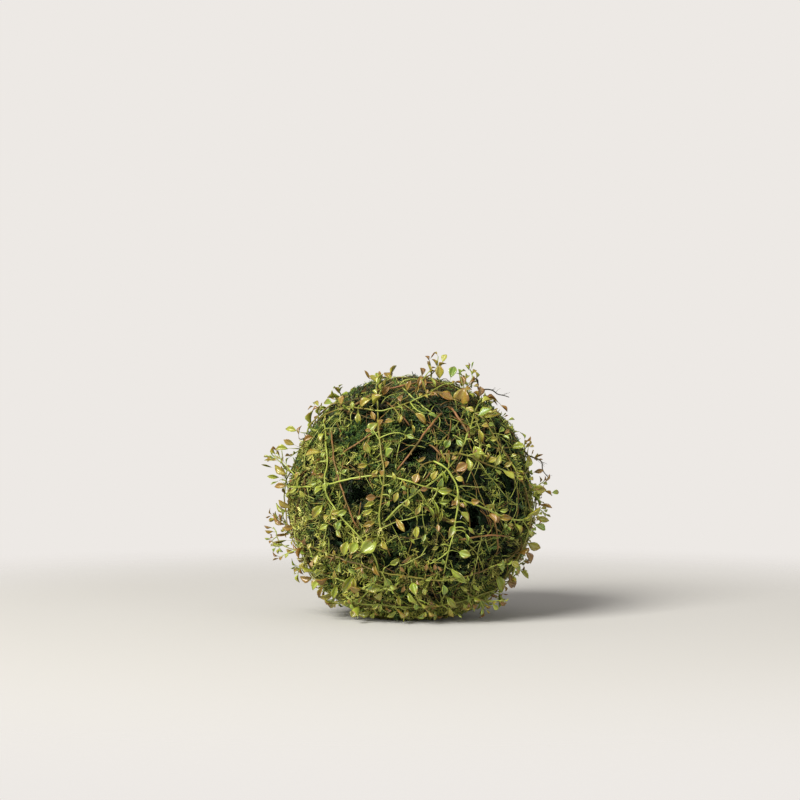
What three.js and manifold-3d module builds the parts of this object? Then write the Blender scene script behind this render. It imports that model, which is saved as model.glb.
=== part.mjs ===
// A moss ball with leafy vines, in millimetres, +Z up.
// Six woven twig hoops carry twelve pads of sheet moss. Bark twigs, leafy vines, standing sprigs and
// loose rootlets are wound over the moss. The ball is hollow, and rests on a small flat spot.
// The origin is the middle of that flat spot.
import * as THREE from "three";
import { mergeVertices } from "three/addons/utils/BufferGeometryUtils.js";
import Module from "manifold-3d";

const wasm = await Module();
wasm.setup();

// ---- Driving dimensions ----
const MOSS_RADIUS = 97.5; // mean outside of the moss
const MOSS_THICKNESS = 10;
const LUMP_HEIGHT = 2.2; // how far the moss swells and sinks
const REST_RADIUS = 28; // the small flat spot
const GAP = 0.4; // clearance between touching pieces
const HOOP_TWIG = 1.6; // radius of a hoop's twig
const HOOP_WEAVE = 1.75; // how far a hoop bows out or in where it crosses another
const BARK_TWIG = 1.1; // radii of the strands wound outside
const VINE_STEM = 0.95;
const SPRIG_STEM = 0.8;
const ROOTLET = 0.6;
const FINE_STEP = 2; // spacing of the points that are tested along a strand
const LONG_STATION = 6; // fine steps between two sections of a long strand
const SHORT_STATION = 3; // the same for a short strand
const LAID_GAP = 0.5; // clearance under a strand laid on the moss
const ROOTED_GAP = 0; // clearance under the foot of a strand rooted in the moss
const CROSSING_GAP = 0.52; // clearance between two strands that cross
const LEAF_THICKNESS = 0.9;
const LEAF_NEIGHBOURS = 40; // leaves whose bases are further apart than this can't touch
const TABLE_CLEARANCE = 1.5; // least height of a leaf above the table
const HOOP_CLEARANCE = 1.8; // from the faceted inside of the moss to a hoop's outermost bow

const CENTRE_HEIGHT = Math.sqrt(MOSS_RADIUS ** 2 - REST_RADIUS ** 2);
const INNER_RADIUS = MOSS_RADIUS - MOSS_THICKNESS;
const HOOP_RADIUS = INNER_RADIUS - HOOP_CLEARANCE - HOOP_WEAVE - HOOP_TWIG;

// Places on the ball are longitude and latitude in degrees, 0, 0 facing the front (-Y).
// The pads meet half-way between these middles.
const PADS = {
  moss_base_pad: [0, -90],
  moss_lower_pad_1: [-8, -28],
  moss_lower_pad_2: [60, -38],
  moss_lower_pad_3: [126, -30],
  moss_lower_pad_4: [194, -34],
  moss_lower_pad_5: [276, -32],
  moss_upper_pad_1: [2, 30],
  moss_upper_pad_2: [66, 20],
  moss_upper_pad_3: [138, 30],
  moss_upper_pad_4: [212, 26],
  moss_upper_pad_5: [296, 14],
  moss_crown_pad: [180, 82],
};

// Dark holes through the moss: longitude, latitude, half width and half height in mm.
const HOLES = [
  [-26, 5, 8, 7.5],
  [2, 25, 11, 6.5],
  [-21, 48, 6, 5],
  [30, -7, 10, 9],
  [52, 8, 7, 10],
  [-5, -10, 9, 7],
  [-10, -27, 6, 5],
  [26, -26, 8, 5],
  [-38, -18, 6, 8],
  [-68, 22, 6, 8],
  [96, 34, 9, 7],
  [118, 4, 10, 8],
  [152, -12, 7, 9],
  [168, 34, 9, 8],
  [186, -4, 8, 9],
  [212, -14, 7, 6],
  [226, 46, 8, 6],
  [246, 8, 9, 9],
  [262, -12, 6, 8],
  [-70, -32, 7, 6],
];

// Bark twigs laid on the moss.
const BARK_TWIGS = {
  bark_twig_slant: [[21, 46], [10, 37], [2, 27], [-7, 15]],
  bark_twig_brow: [[-20, 54], [-12, 48], [-1, 39]],
  bark_twig_middle: [[9, 29], [17, 19], [25, 9]],
  bark_twig_temple: [[27, 50], [29, 41], [33, 29]],
  bark_twig_left: [[-51, 37], [-40, 21], [-33, 8], [-27, -5], [-24, -12]],
  bark_twig_cheek: [[-38, 22], [-27, 29], [-17, 38]],
  bark_twig_hollow: [[36, 0], [41, -12], [46, -24]],
  bark_twig_low: [[22, -16], [36, -13], [52, -15]],
  bark_twig_rim: [[-47, 44], [-38, 56], [-14, 66], [22, 69], [52, 62]],
  bark_twig_right_back: [[100, 30], [120, 14], [136, -4]],
  bark_twig_nape: [[150, 46], [163, 26], [170, 5]],
  bark_twig_back: [[184, -22], [206, -8], [230, 3]],
  bark_twig_left_back: [[236, 50], [242, 32], [254, 12]],
  bark_twig_low_back: [[262, -28], [275, -10], [281, 9]],
};

// Leafy vines wound round the ball over the twigs.
const VINES = {
  vine_band: [
    [-96, 8], [-78, 6], [-61, 7], [-41, 8], [-25, 12], [-10, 13], [3, 9], [14, 6], [26, 1],
    [42, -5], [60, -8], [82, -5], [105, 3], [130, 10], [156, 11], [182, 7], [206, 2],
  ],
  vine_left: [
    [-112, 58], [-84, 51], [-67, 41], [-53, 33], [-43, 17], [-38, 1], [-32, -6], [-22, -17],
    [-17, -27], [-22, -39], [-38, -49], [-64, -54], [-96, -54], [-126, -48], [-150, -36],
  ],
  vine_olive: [
    [-14, -12], [-14, -1], [-12, 11], [-16, 28], [-21, 43], [-28, 55], [-48, 69], [-112, 77],
    [-160, 66], [-176, 50], [-186, 32], [-196, 15],
  ],
  vine_front: [
    [-12, -7], [-4, 1], [3, 6], [12, 12], [23, 22], [31, 33], [40, 42], [58, 51], [84, 55],
    [110, 51], [132, 39], [149, 23],
  ],
  vine_shoot: [[10, 20], [16, 15], [20, 8], [20, -2], [19, -12], [17, -22], [17, -34]],
  vine_keel: [
    [-136, -7], [-114, -13], [-92, -17], [-73, -18], [-55, -21], [-36, -26], [-21, -30],
    [-8, -33], [10, -35], [30, -33], [48, -28], [62, -23], [75, -14], [86, -2], [94, 14],
    [104, 30], [118, 43], [142, 54],
  ],
  vine_limb: [
    [43, 45], [49, 31], [57, 16], [66, 4], [70, -7], [67, -17], [63, -27], [68, -40],
    [84, -50], [108, -52], [130, -45], [147, -31], [160, -16],
  ],
  vine_chin: [
    [-5, -37], [-14, -42], [-28, -42], [-44, -38], [-60, -35], [-80, -36], [-102, -36],
    [-124, -29], [-142, -16], [-154, 1],
  ],
  vine_hem: [
    [-54, -46], [-40, -51], [-26, -53], [-9, -55], [10, -55], [32, -52], [54, -46], [77, -38],
    [99, -30], [119, -18], [134, -3], [146, 13],
  ],
  vine_brow: [
    [-124, 26], [-102, 33], [-82, 38], [-66, 41], [-51, 46], [-35, 47], [-20, 45], [-4, 50],
    [16, 59], [50, 66], [96, 66],
  ],
  vine_shoulder: [[14, 23], [28, 21], [41, 17], [56, 13], [76, 14], [95, 21], [114, 24], [136, 22]],
  vine_nape: [[200, -34], [190, -14], [186, 6], [191, 26], [205, 42], [232, 53], [262, 55]],
  vine_back: [[218, 55], [223, 36], [232, 18], [243, 0], [252, -17], [264, -33], [288, -45]],
  vine_cheek: [[-64, 54], [-75, 38], [-81, 20], [-84, 2], [-81, -15], [-75, -30], [-66, -43]],
};

// Sprigs stand off the moss: the third number is their height above it in mm.
const SPRIGS = {
  sprig_left: [[-70, 11, 0], [-78, 13, 3], [-84, 16, 8], [-87, 21, 14]],
  sprig_low_left: [[-64, -27, 0], [-72, -24, 2], [-80, -18, 7], [-86, -11, 12]],
  sprig_bottom: [[2, -47, 0], [6, -50, 3], [11, -52, 8], [17, -52, 13]],
  sprig_low_right: [[36, -45, 0], [43, -46, 3], [50, -46, 7], [56, -44, 12]],
  sprig_right: [[75, 4, 0], [80, 6, 3], [85, 5, 7], [88, 1, 12]],
  sprig_top: [[12, 74, 0], [40, 77, 3], [64, 78, 8], [82, 77, 13]],
  sprig_top_right: [[36, 55, 0], [48, 58, 3], [62, 60, 7], [76, 60, 12]],
  sprig_back: [[170, 20, 0], [176, 24, 3], [182, 30, 7], [186, 37, 12]],
  sprig_back_left: [[236, -22, 0], [242, -18, 3], [248, -12, 8], [251, -5, 13]],
  sprig_back_right: [[140, -26, 0], [133, -24, 3], [127, -20, 8], [122, -14, 13]],
};

// Dark rootlets that have sprung loose at the right.
const ROOTLETS = {
  rootlet_upper: [[66, 61, 0], [76, 58, 4], [84, 53, 9], [88, 46, 16]],
  rootlet_lower: [[80, 26, 0], [84, 21, 3], [87, 15, 9], [89, 8, 16]],
};

// ---- Materials ----
const colours = { moss: 0x4c5526, hoop: 0x6e5a38, bark: 0x8a5a35, vine: 0x7f8a35, rootlet: 0x343321 };
const finish = (color, roughness) => () =>
  new THREE.MeshStandardMaterial({ color, roughness, metalness: 0 });
const mossFinish = finish(colours.moss, 1.0);
const hoopFinish = finish(colours.hoop, 0.8);
const barkFinish = finish(colours.bark, 0.75);
const vineFinish = finish(colours.vine, 0.45);
const rootletFinish = finish(colours.rootlet, 0.8);

// ---- Helpers ----
// Unit vectors at a place on the ball: outwards, towards the east and towards the north.
function placeOnBall(longitude, latitude) {
  const lon = THREE.MathUtils.degToRad(longitude);
  const lat = THREE.MathUtils.degToRad(latitude);
  const level = Math.cos(lat);
  const out = new THREE.Vector3(level * Math.sin(lon), -level * Math.cos(lon), Math.sin(lat));
  const east = new THREE.Vector3(Math.cos(lon), Math.sin(lon), 0);
  const north = new THREE.Vector3().crossVectors(out, east);
  return { out, east, north };
}

// The outside of the moss in the direction of a unit vector: a round ball with soft lumps,
// which fade out towards the flat spot.
function mossRadius(d) {
  const lumps =
    Math.sin(3.1 * d.x + 1.7 * d.z + 0.6) * Math.cos(2.3 * d.y - 1.9 * d.z + 0.4) +
    0.5 * Math.sin(5.3 * d.z - 2.9 * d.x + 1.1) * Math.sin(4.7 * d.y + 2.2 * d.x);
  const fade = THREE.MathUtils.clamp((d.z + 0.97) / 0.35, 0, 1);
  return MOSS_RADIUS + LUMP_HEIGHT * lumps * fade;
}

// A repeatable source of numbers from 0 to 1.
function seededNumbers(seed) {
  let state = seed;
  return () => {
    state = (state * 16807) % 2147483647;
    return state / 2147483647;
  };
}

function solidOf(geometry) {
  const bare = geometry.clone();
  bare.deleteAttribute("normal");
  bare.deleteAttribute("uv");
  const merged = mergeVertices(bare, 1e-4);
  const mesh = new wasm.Mesh({
    numProp: 3,
    vertProperties: merged.attributes.position.array,
    triVerts: new Uint32Array(merged.index.array),
  });
  return new wasm.Manifold(mesh);
}

function geometryOf(solid) {
  const mesh = solid.getMesh();
  const geometry = new THREE.BufferGeometry();
  geometry.setAttribute("position", new THREE.BufferAttribute(mesh.vertProperties, 3));
  geometry.setIndex(new THREE.BufferAttribute(mesh.triVerts, 1));
  const faceted = geometry.toNonIndexed();
  faceted.computeVertexNormals();
  return faceted;
}

function addMesh(group, name, geometry, material) {
  const mesh = new THREE.Mesh(geometry, material);
  mesh.name = name;
  group.add(mesh);
}

// ---- Moss ----
function mossShell() {
  const outside = mergeVertices(positionsOnly(new THREE.IcosahedronGeometry(1, 5)));
  const points = outside.attributes.position;
  const d = new THREE.Vector3();
  for (let i = 0; i < points.count; i++) {
    d.fromBufferAttribute(points, i).normalize();
    d.multiplyScalar(mossRadius(d));
    points.setXYZ(i, d.x, d.y, d.z);
  }
  const inside = new THREE.IcosahedronGeometry(INNER_RADIUS, 3);
  const below = new THREE.BoxGeometry(2 * MOSS_RADIUS, 2 * MOSS_RADIUS, MOSS_RADIUS);
  below.translate(0, 0, -CENTRE_HEIGHT - MOSS_RADIUS / 2);
  return solidOf(outside).subtract(solidOf(inside)).subtract(solidOf(below));
}

function positionsOnly(geometry) {
  geometry.deleteAttribute("normal");
  geometry.deleteAttribute("uv");
  return geometry;
}

// An irregular seven-cornered plug that points at the middle of the ball.
function holePlug([longitude, latitude, halfWidth, halfHeight], random) {
  const corners = 7;
  const outline = new THREE.Shape();
  for (let i = 0; i < corners; i++) {
    const angle = (2 * Math.PI * i) / corners;
    const reach = 0.85 + 0.3 * random();
    const x = halfWidth * reach * Math.cos(angle);
    const y = halfHeight * reach * Math.sin(angle);
    if (i === 0) outline.moveTo(x, y);
    else outline.lineTo(x, y);
  }
  const depth = 3 * MOSS_THICKNESS;
  const plug = new THREE.ExtrudeGeometry(outline, { depth, bevelEnabled: false });
  plug.translate(0, 0, MOSS_RADIUS - 2 * MOSS_THICKNESS);
  const { out, east, north } = placeOnBall(longitude, latitude);
  plug.applyMatrix4(new THREE.Matrix4().makeBasis(east, north, out));
  return solidOf(plug);
}

// The half of space nearer to one pad's middle than to another's, less half the gap between them.
function nearSide(own, other) {
  const size = 3 * MOSS_RADIUS;
  const half = new THREE.BoxGeometry(size, size, size);
  half.translate(0, 0, size / 2 + GAP / 2);
  const away = new THREE.Vector3().subVectors(own, other).normalize();
  const turn = new THREE.Quaternion().setFromUnitVectors(new THREE.Vector3(0, 0, 1), away);
  half.applyQuaternion(turn);
  return solidOf(half);
}

function addMoss(group) {
  const random = seededNumbers(2027);
  let shell = mossShell();
  for (const hole of HOLES) shell = shell.subtract(holePlug(hole, random));
  const middles = Object.entries(PADS).map(([name, place]) => {
    return { name, middle: placeOnBall(...place).out };
  });
  for (const own of middles) {
    let pad = shell;
    for (const other of middles) {
      if (other !== own) pad = pad.intersect(nearSide(own.middle, other.middle));
    }
    addMesh(group, own.name, geometryOf(pad), mossFinish());
  }
}

// ---- Woven hoops ----
// The hoops' axes are the six diagonals of an icosahedron, so each hoop crosses the others at ten
// even places and goes over and under them in turn.
function hoopAxes() {
  const golden = (1 + Math.sqrt(5)) / 2;
  const corners = [
    [0, 1, golden], [0, -1, golden], [1, golden, 0], [-1, golden, 0], [golden, 0, 1], [golden, 0, -1],
  ];
  const turn = new THREE.Euler(0.3, 0.25, 0.1);
  return corners.map((c) => new THREE.Vector3(...c).normalize().applyEuler(turn));
}

function hoopGeometry(axis, others) {
  const segments = 40;
  const sides = 5;
  const start = new THREE.Vector3().crossVectors(axis, others[0]).normalize();
  const side = new THREE.Vector3().crossVectors(axis, start);
  const crossings = others.flatMap((other) => {
    const cross = new THREE.Vector3().crossVectors(axis, other).normalize();
    const over = Math.sign(axis.dot(other));
    const angle = Math.atan2(cross.dot(side), cross.dot(start));
    return [{ angle, bow: over }, { angle: angle + Math.PI, bow: -over }];
  });
  const hoop = positionsOnly(new THREE.TorusGeometry(HOOP_RADIUS, HOOP_TWIG, sides, segments));
  const points = hoop.attributes.position;
  const spread = THREE.MathUtils.degToRad(12); // how far a bow spreads along the hoop
  for (let i = 0; i < points.count; i++) {
    const angle = Math.atan2(points.getY(i), points.getX(i));
    let bow = 0;
    for (const crossing of crossings) {
      const turn = Math.atan2(Math.sin(angle - crossing.angle), Math.cos(angle - crossing.angle));
      bow += crossing.bow * HOOP_WEAVE * Math.exp(-((turn / spread) ** 2));
    }
    points.setX(i, points.getX(i) + bow * Math.cos(angle));
    points.setY(i, points.getY(i) + bow * Math.sin(angle));
  }
  return hoop.applyMatrix4(new THREE.Matrix4().makeBasis(start, side, axis));
}

function addHoops(group) {
  const axes = hoopAxes();
  axes.forEach((axis, k) => {
    const others = axes.filter((other) => other !== axis);
    const faceted = geometryOf(solidOf(hoopGeometry(axis, others)));
    addMesh(group, `twig_hoop_${k + 1}`, faceted, hoopFinish());
  });
}

// ---- Strands wound outside ----
// A path through given points, with an even step from each to the next.
class StrandPath extends THREE.Curve {
  constructor(stations) {
    super();
    this.stations = stations;
  }

  getPoint(t, target = new THREE.Vector3()) {
    const last = this.stations.length - 1;
    const k = Math.min(Math.floor(t * last), last - 1);
    return target.lerpVectors(this.stations[k], this.stations[k + 1], t * last - k);
  }

  getPointAt(u, target) {
    return this.getPoint(u, target);
  }

  getTangentAt(u, target = new THREE.Vector3()) {
    const last = this.stations.length - 1;
    const k = Math.round(u * last);
    const before = this.stations[Math.max(k - 1, 0)];
    const after = this.stations[Math.min(k + 1, last)];
    return target.subVectors(after, before).normalize();
  }
}

// Fine points along a strand that lies on the moss and climbs over every strand laid before it.
function layStrand(route, { radius, step, gap }, laid) {
  const places = route.map(([longitude, latitude, lift = 0]) =>
    placeOnBall(longitude, latitude).out.multiplyScalar(MOSS_RADIUS + lift),
  );
  const curve = new THREE.CatmullRomCurve3(places, false, "centripetal");
  curve.arcLengthDivisions = 1000;
  const sections = Math.max(3, Math.round(curve.getLength() / (FINE_STEP * step)));
  const fine = curve.getSpacedPoints(sections * step);
  const outwards = fine.map((p) => p.clone().normalize());
  const needed = outwards.map((d) => {
    let height = mossRadius(d) + radius + gap;
    for (const other of laid) {
      const reach = radius + other.radius + CROSSING_GAP;
      for (let j = 0; j < other.points.length; j++) {
        const apart = d.distanceTo(other.outwards[j]) * MOSS_RADIUS;
        if (apart >= reach) continue;
        height = Math.max(height, other.points[j].length() + Math.sqrt(reach ** 2 - apart ** 2));
      }
    }
    return height;
  });
  const stations = [];
  for (let s = 0; s <= sections; s++) {
    const from = Math.max(0, (s - 1) * step + 1);
    const to = Math.min(needed.length, (s + 1) * step);
    const lift = Math.max(0, fine[s * step].length() - MOSS_RADIUS);
    const height = Math.max(...needed.slice(from, to)) + lift;
    stations.push(outwards[s * step].clone().multiplyScalar(height));
  }
  const path = new StrandPath(stations);
  const points = fine.map((p, i) => path.getPoint(i / (fine.length - 1)));
  const strand = { radius, path, stations, points, outwards: points.map((p) => p.clone().normalize()) };
  laid.push(strand);
  return strand;
}

// A square tube along the strand.
function strandSolid({ path, stations, radius }) {
  const sides = 4;
  const section = new THREE.Shape();
  for (let i = 0; i < sides; i++) {
    const angle = (2 * Math.PI * i) / sides;
    const x = radius * Math.cos(angle);
    const y = radius * Math.sin(angle);
    if (i === 0) section.moveTo(x, y);
    else section.lineTo(x, y);
  }
  const steps = stations.length - 1;
  return solidOf(new THREE.ExtrudeGeometry(section, { steps, extrudePath: path, bevelEnabled: false }));
}

// ---- Leaves ----
// A leaf on its short stalk: a lens with six corners, one unit long, half a unit to each side.
function leafBlank() {
  const neck = 0.16; // stalk's width as a share of the blade's
  const neckAt = 0.36; // where the stalk meets the blade, as a share of the leaf's reach
  const ridgeAt = 0.62;
  const lens = positionsOnly(new THREE.SphereGeometry(1, 6, 2));
  const points = lens.attributes.position;
  for (let i = 0; i < points.count; i++) {
    const isRidge = Math.abs(points.getY(i)) > 0.5;
    const isNeck = !isRidge && Math.abs(points.getX(i) + 0.5) < 0.1;
    const along = isRidge ? ridgeAt : isNeck ? neckAt : (points.getX(i) + 1) / 2;
    const across = (points.getZ(i) / Math.sin(Math.PI / 3)) * (isNeck ? neck : 1);
    points.setXYZ(i, along, points.getY(i) / 2, across / 2);
  }
  return lens;
}

// Leaves alternate along the stem and lean outwards. One that would foul a strand, another leaf, the
// moss or the table isn't grown.
function growLeaves(strand, strands, leaves, { pitch, shortest, longest, seed }) {
  const random = seededNumbers(seed);
  const own = [];
  const length = (strand.points.length - 1) * FINE_STEP;
  let side = 1;
  let reached = pitch * 0.6;
  while (reached < length + 0.5) {
    const index = Math.min(Math.round(reached / FINE_STEP), strand.points.length - 2);
    const atTip = length - reached < pitch * 0.5;
    const base = strand.points[index];
    const out = strand.outwards[index];
    const ahead = strand.path.getTangentAt(index / (strand.points.length - 1));
    const across = new THREE.Vector3().crossVectors(ahead, out).normalize().multiplyScalar(side);
    const lean = THREE.MathUtils.degToRad(14 + 50 * random());
    const swing = THREE.MathUtils.degToRad(atTip ? 0 : 30 + 50 * random());
    const reach = shortest + (longest - shortest) * random();
    const width = reach * (0.38 + 0.14 * random());
    const along = ahead.clone().multiplyScalar(Math.cos(swing)).addScaledVector(across, Math.sin(swing));
    along.multiplyScalar(Math.cos(lean)).addScaledVector(out, Math.sin(lean)).normalize();
    const flat = new THREE.Vector3().crossVectors(along, out).normalize();
    const leaf = { owner: strand, base, along, flat, reach, width };
    if (leafFits(leaf, strands, leaves)) {
      leaves.push(leaf);
      own.push(leaf);
    }
    side = -side;
    reached += pitch * (0.6 + 0.8 * random());
  }
  return own;
}

// Balls strung along a leaf, as shares of its reach and of its width.
const LEAF_PROBES = [[0.2, 0.14], [0.42, 0.3], [0.66, 0.52], [0.84, 0.42], [1.0, 0.1]];

function leafFits(leaf, strands, leaves) {
  leaf.probes = LEAF_PROBES.map(([share, girth]) => ({
    centre: leaf.base.clone().addScaledVector(leaf.along, share * leaf.reach),
    radius: girth * leaf.width + GAP,
  }));
  const floor = -CENTRE_HEIGHT + TABLE_CLEARANCE;
  for (const { centre, radius } of leaf.probes) {
    if (centre.z - radius < floor) return false;
    const above = centre.length() - mossRadius(centre.clone().normalize());
    if (above < LEAF_THICKNESS / 2 + GAP) return false;
    for (const strand of strands) {
      if (strand === leaf.owner) continue;
      if (strand.points.some((p) => p.distanceTo(centre) < radius + strand.radius + GAP)) return false;
    }
    for (const other of leaves) {
      if (other.base.distanceTo(leaf.base) > LEAF_NEIGHBOURS) continue;
      const fouls = (probe) => probe.centre.distanceTo(centre) < probe.radius + radius;
      if (other.probes.some(fouls)) return false;
    }
  }
  return true;
}

function leafSolid(leaf, blank) {
  const face = new THREE.Vector3().crossVectors(leaf.flat, leaf.along);
  const place = new THREE.Matrix4().makeBasis(leaf.along, face, leaf.flat).setPosition(leaf.base);
  place.scale(new THREE.Vector3(leaf.reach, LEAF_THICKNESS, leaf.width));
  return solidOf(blank.clone().applyMatrix4(place));
}

// ---- The ball ----
const mossBall = new THREE.Group();
const ball = new THREE.Group();
ball.position.z = CENTRE_HEIGHT;
mossBall.add(ball);

addMoss(ball);
addHoops(ball);

const laid = [];
const lay = (routes, habit) =>
  Object.entries(routes).map(([name, route]) => ({ name, strand: layStrand(route, habit, laid) }));
const twigs = lay(BARK_TWIGS, { radius: BARK_TWIG, step: LONG_STATION, gap: LAID_GAP });
const vines = lay(VINES, { radius: VINE_STEM, step: LONG_STATION, gap: LAID_GAP });
const sprigs = lay(SPRIGS, { radius: SPRIG_STEM, step: SHORT_STATION, gap: ROOTED_GAP });
const rootlets = lay(ROOTLETS, { radius: ROOTLET, step: SHORT_STATION, gap: ROOTED_GAP });

for (const { name, strand } of twigs) {
  addMesh(ball, name, geometryOf(strandSolid(strand)), barkFinish());
}
for (const { name, strand } of rootlets) {
  addMesh(ball, name, geometryOf(strandSolid(strand)), rootletFinish());
}

const leaves = [];
const blank = leafBlank();
function addLeafy(pieces, habit) {
  pieces.forEach(({ name, strand }, i) => {
    const grown = growLeaves(strand, laid, leaves, { ...habit, seed: habit.seed + 17 * i });
    const whole = grown.reduce((solid, leaf) => solid.add(leafSolid(leaf, blank)), strandSolid(strand));
    addMesh(ball, name, geometryOf(whole), vineFinish());
  });
}
addLeafy(sprigs, { pitch: 5, shortest: 8, longest: 12, seed: 501 });
addLeafy(vines, { pitch: 13, shortest: 10, longest: 17, seed: 101 });

export default mossBall;
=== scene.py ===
# %% [markdown]
# # A moss ball wound with leafy vines
# The ball is hollow. Woven twig hoops carry pads of dried sheet moss, and bark twigs, leafy vines,
# sprigs and rootlets are wound over them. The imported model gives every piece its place. This lesson
# grows the fine surface of each piece around it: fronds, leaves, bark and stalks.
#
# Everything is worked out in millimetres from the middle of the ball, and turned to metres once, when
# a mesh is made.

# %% Load the frame
import math

import bmesh
import bpy
import numpy as np
from mathutils import Matrix, Vector, noise
from mathutils.kdtree import KDTree


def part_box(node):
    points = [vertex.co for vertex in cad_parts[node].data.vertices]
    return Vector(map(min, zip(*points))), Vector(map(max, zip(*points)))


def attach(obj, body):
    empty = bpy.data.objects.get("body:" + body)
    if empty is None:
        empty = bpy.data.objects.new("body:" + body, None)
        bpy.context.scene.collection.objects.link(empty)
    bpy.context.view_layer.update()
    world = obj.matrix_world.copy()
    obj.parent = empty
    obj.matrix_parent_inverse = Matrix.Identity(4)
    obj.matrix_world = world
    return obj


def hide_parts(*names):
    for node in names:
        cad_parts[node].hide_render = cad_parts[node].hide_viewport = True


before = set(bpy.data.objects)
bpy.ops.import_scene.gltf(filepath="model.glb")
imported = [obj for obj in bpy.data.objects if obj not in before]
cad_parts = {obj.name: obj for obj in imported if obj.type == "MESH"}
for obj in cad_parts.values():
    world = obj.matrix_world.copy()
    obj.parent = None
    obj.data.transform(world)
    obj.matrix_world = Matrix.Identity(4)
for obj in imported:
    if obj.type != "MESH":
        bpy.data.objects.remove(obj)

scene = bpy.context.scene
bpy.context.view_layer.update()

# %% Driving sizes
MM = 0.001
MOSS_RADIUS = 97.5  # the mean outside of the moss
LUMP_HEIGHT = 2.2
REST_RADIUS = 28.0  # the flat spot under the ball
CENTRE_HEIGHT = math.sqrt(MOSS_RADIUS**2 - REST_RADIUS**2)
FINE_STEP = 2.0  # spacing of the points along a strand
BALL_CENTRE = np.array([0.0, 0.0, CENTRE_HEIGHT])
print("ball centre stands", round(CENTRE_HEIGHT, 1), "mm above the table")

# %% [markdown]
# ## Camera, table and light
# The photograph looks level at the ball, and shows it below the middle of the picture. So the camera is
# level too, and a little higher than the ball. The background is a warm pale grey with no horizon, so
# the table fades into the world colour a short way out instead of ending in an edge.

# %% Colour helper
def linear(hex_colour, alpha=1.0):
    """The linear colour of an sRGB hex value, as Blender's sockets take it."""
    channels = [int(hex_colour[i : i + 2], 16) / 255 for i in (1, 3, 5)]
    turned = [c / 12.92 if c <= 0.04045 else ((c + 0.055) / 1.055) ** 2.4 for c in channels]
    return (*turned, alpha)


# %% Node helper
def add_node(tree, kind, inputs=None, **settings):
    """Adds a node with its settings, and a ramp's stops. An input takes a value or a socket."""
    node = tree.nodes.new(kind)
    stops = settings.pop("stops", None)
    for key, value in settings.items():
        setattr(node, key, value)
    for k, (position, colour) in enumerate(stops or []):
        stop = node.color_ramp.elements[k] if k < 2 else node.color_ramp.elements.new(position)
        stop.position, stop.color = position, linear(colour)
    for key, value in (inputs or {}).items():
        if isinstance(value, bpy.types.NodeSocket):
            tree.links.new(value, node.inputs[key])
        else:
            node.inputs[key].default_value = value
    return node


# %% Camera
PIXEL = 0.8  # mm on the ball for each pixel of the 800 pixel picture
PICTURE = 800
BALL_PIXEL = (411, 499)  # where the ball's middle lies in the picture
CAMERA_DISTANCE = 1600.0
SENSOR = 36.0
camera_data = bpy.data.cameras.new("camera")
camera_data.sensor_width = SENSOR
camera_data.lens = SENSOR * CAMERA_DISTANCE / (PIXEL * PICTURE)
camera = bpy.data.objects.new("camera", camera_data)
scene.collection.objects.link(camera)
camera_x = (PICTURE / 2 - BALL_PIXEL[0]) * PIXEL
camera_z = CENTRE_HEIGHT + (BALL_PIXEL[1] - PICTURE / 2) * PIXEL
camera.location = (camera_x * MM, -CAMERA_DISTANCE * MM, camera_z * MM)
camera.rotation_euler = (math.radians(90), 0, 0)
scene.camera = camera
print("lens", camera_data.lens, "mm, camera height", round(camera_z), "mm")

# %% World
BACKDROP = "#EDE9E5"
world = bpy.data.worlds.new("pale_studio")
scene.world = world
world.use_nodes = True
SEEN_STRENGTH, LIT_STRENGTH = 1.0, 0.4
seen = add_node(world.node_tree, "ShaderNodeLightPath").outputs["Is Camera Ray"]
strength = add_node(
    world.node_tree,
    "ShaderNodeMapRange",
    {"Value": seen, "To Min": LIT_STRENGTH, "To Max": SEEN_STRENGTH},
).outputs["Result"]
background = world.node_tree.nodes["Background"]
background.inputs["Color"].default_value = linear(BACKDROP)
world.node_tree.links.new(strength, background.inputs["Strength"])
scene.view_settings.view_transform = "Standard"

# %% Table
TABLE_RADIUS = 3.0  # metres
FADE_FROM, FADE_TO = 0.3, 0.8  # metres from the middle
table_material = bpy.data.materials.new("matt_pale_table")
table_material.use_nodes = True
tree = table_material.node_tree
surface = tree.nodes["Principled BSDF"]
surface.inputs["Base Color"].default_value = linear("#CECCC8")
surface.inputs["Roughness"].default_value = 0.9
surface.inputs["Specular IOR Level"].default_value = 0.1
place = add_node(tree, "ShaderNodeTexCoord")
reach = add_node(tree, "ShaderNodeVectorMath", {0: place.outputs["Object"]}, operation="LENGTH")
fade = add_node(
    tree,
    "ShaderNodeMapRange",
    {"Value": reach.outputs["Value"], "From Min": FADE_FROM, "From Max": FADE_TO},
    interpolation_type="SMOOTHSTEP",
)
clear = add_node(tree, "ShaderNodeBsdfTransparent")
both = add_node(
    tree,
    "ShaderNodeMixShader",
    {0: fade.outputs["Result"], 1: surface.outputs["BSDF"], 2: clear.outputs["BSDF"]},
)
tree.links.new(both.outputs["Shader"], tree.nodes["Material Output"].inputs["Surface"])
table_bm = bmesh.new()
bmesh.ops.create_circle(table_bm, cap_ends=True, segments=96, radius=TABLE_RADIUS)
table_mesh = bpy.data.meshes.new("table")
table_bm.to_mesh(table_mesh)
table_bm.free()
table_mesh.materials.append(table_material)
table = bpy.data.objects.new("table", table_mesh)
scene.collection.objects.link(table)
print("table radius", TABLE_RADIUS, "m")

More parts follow.
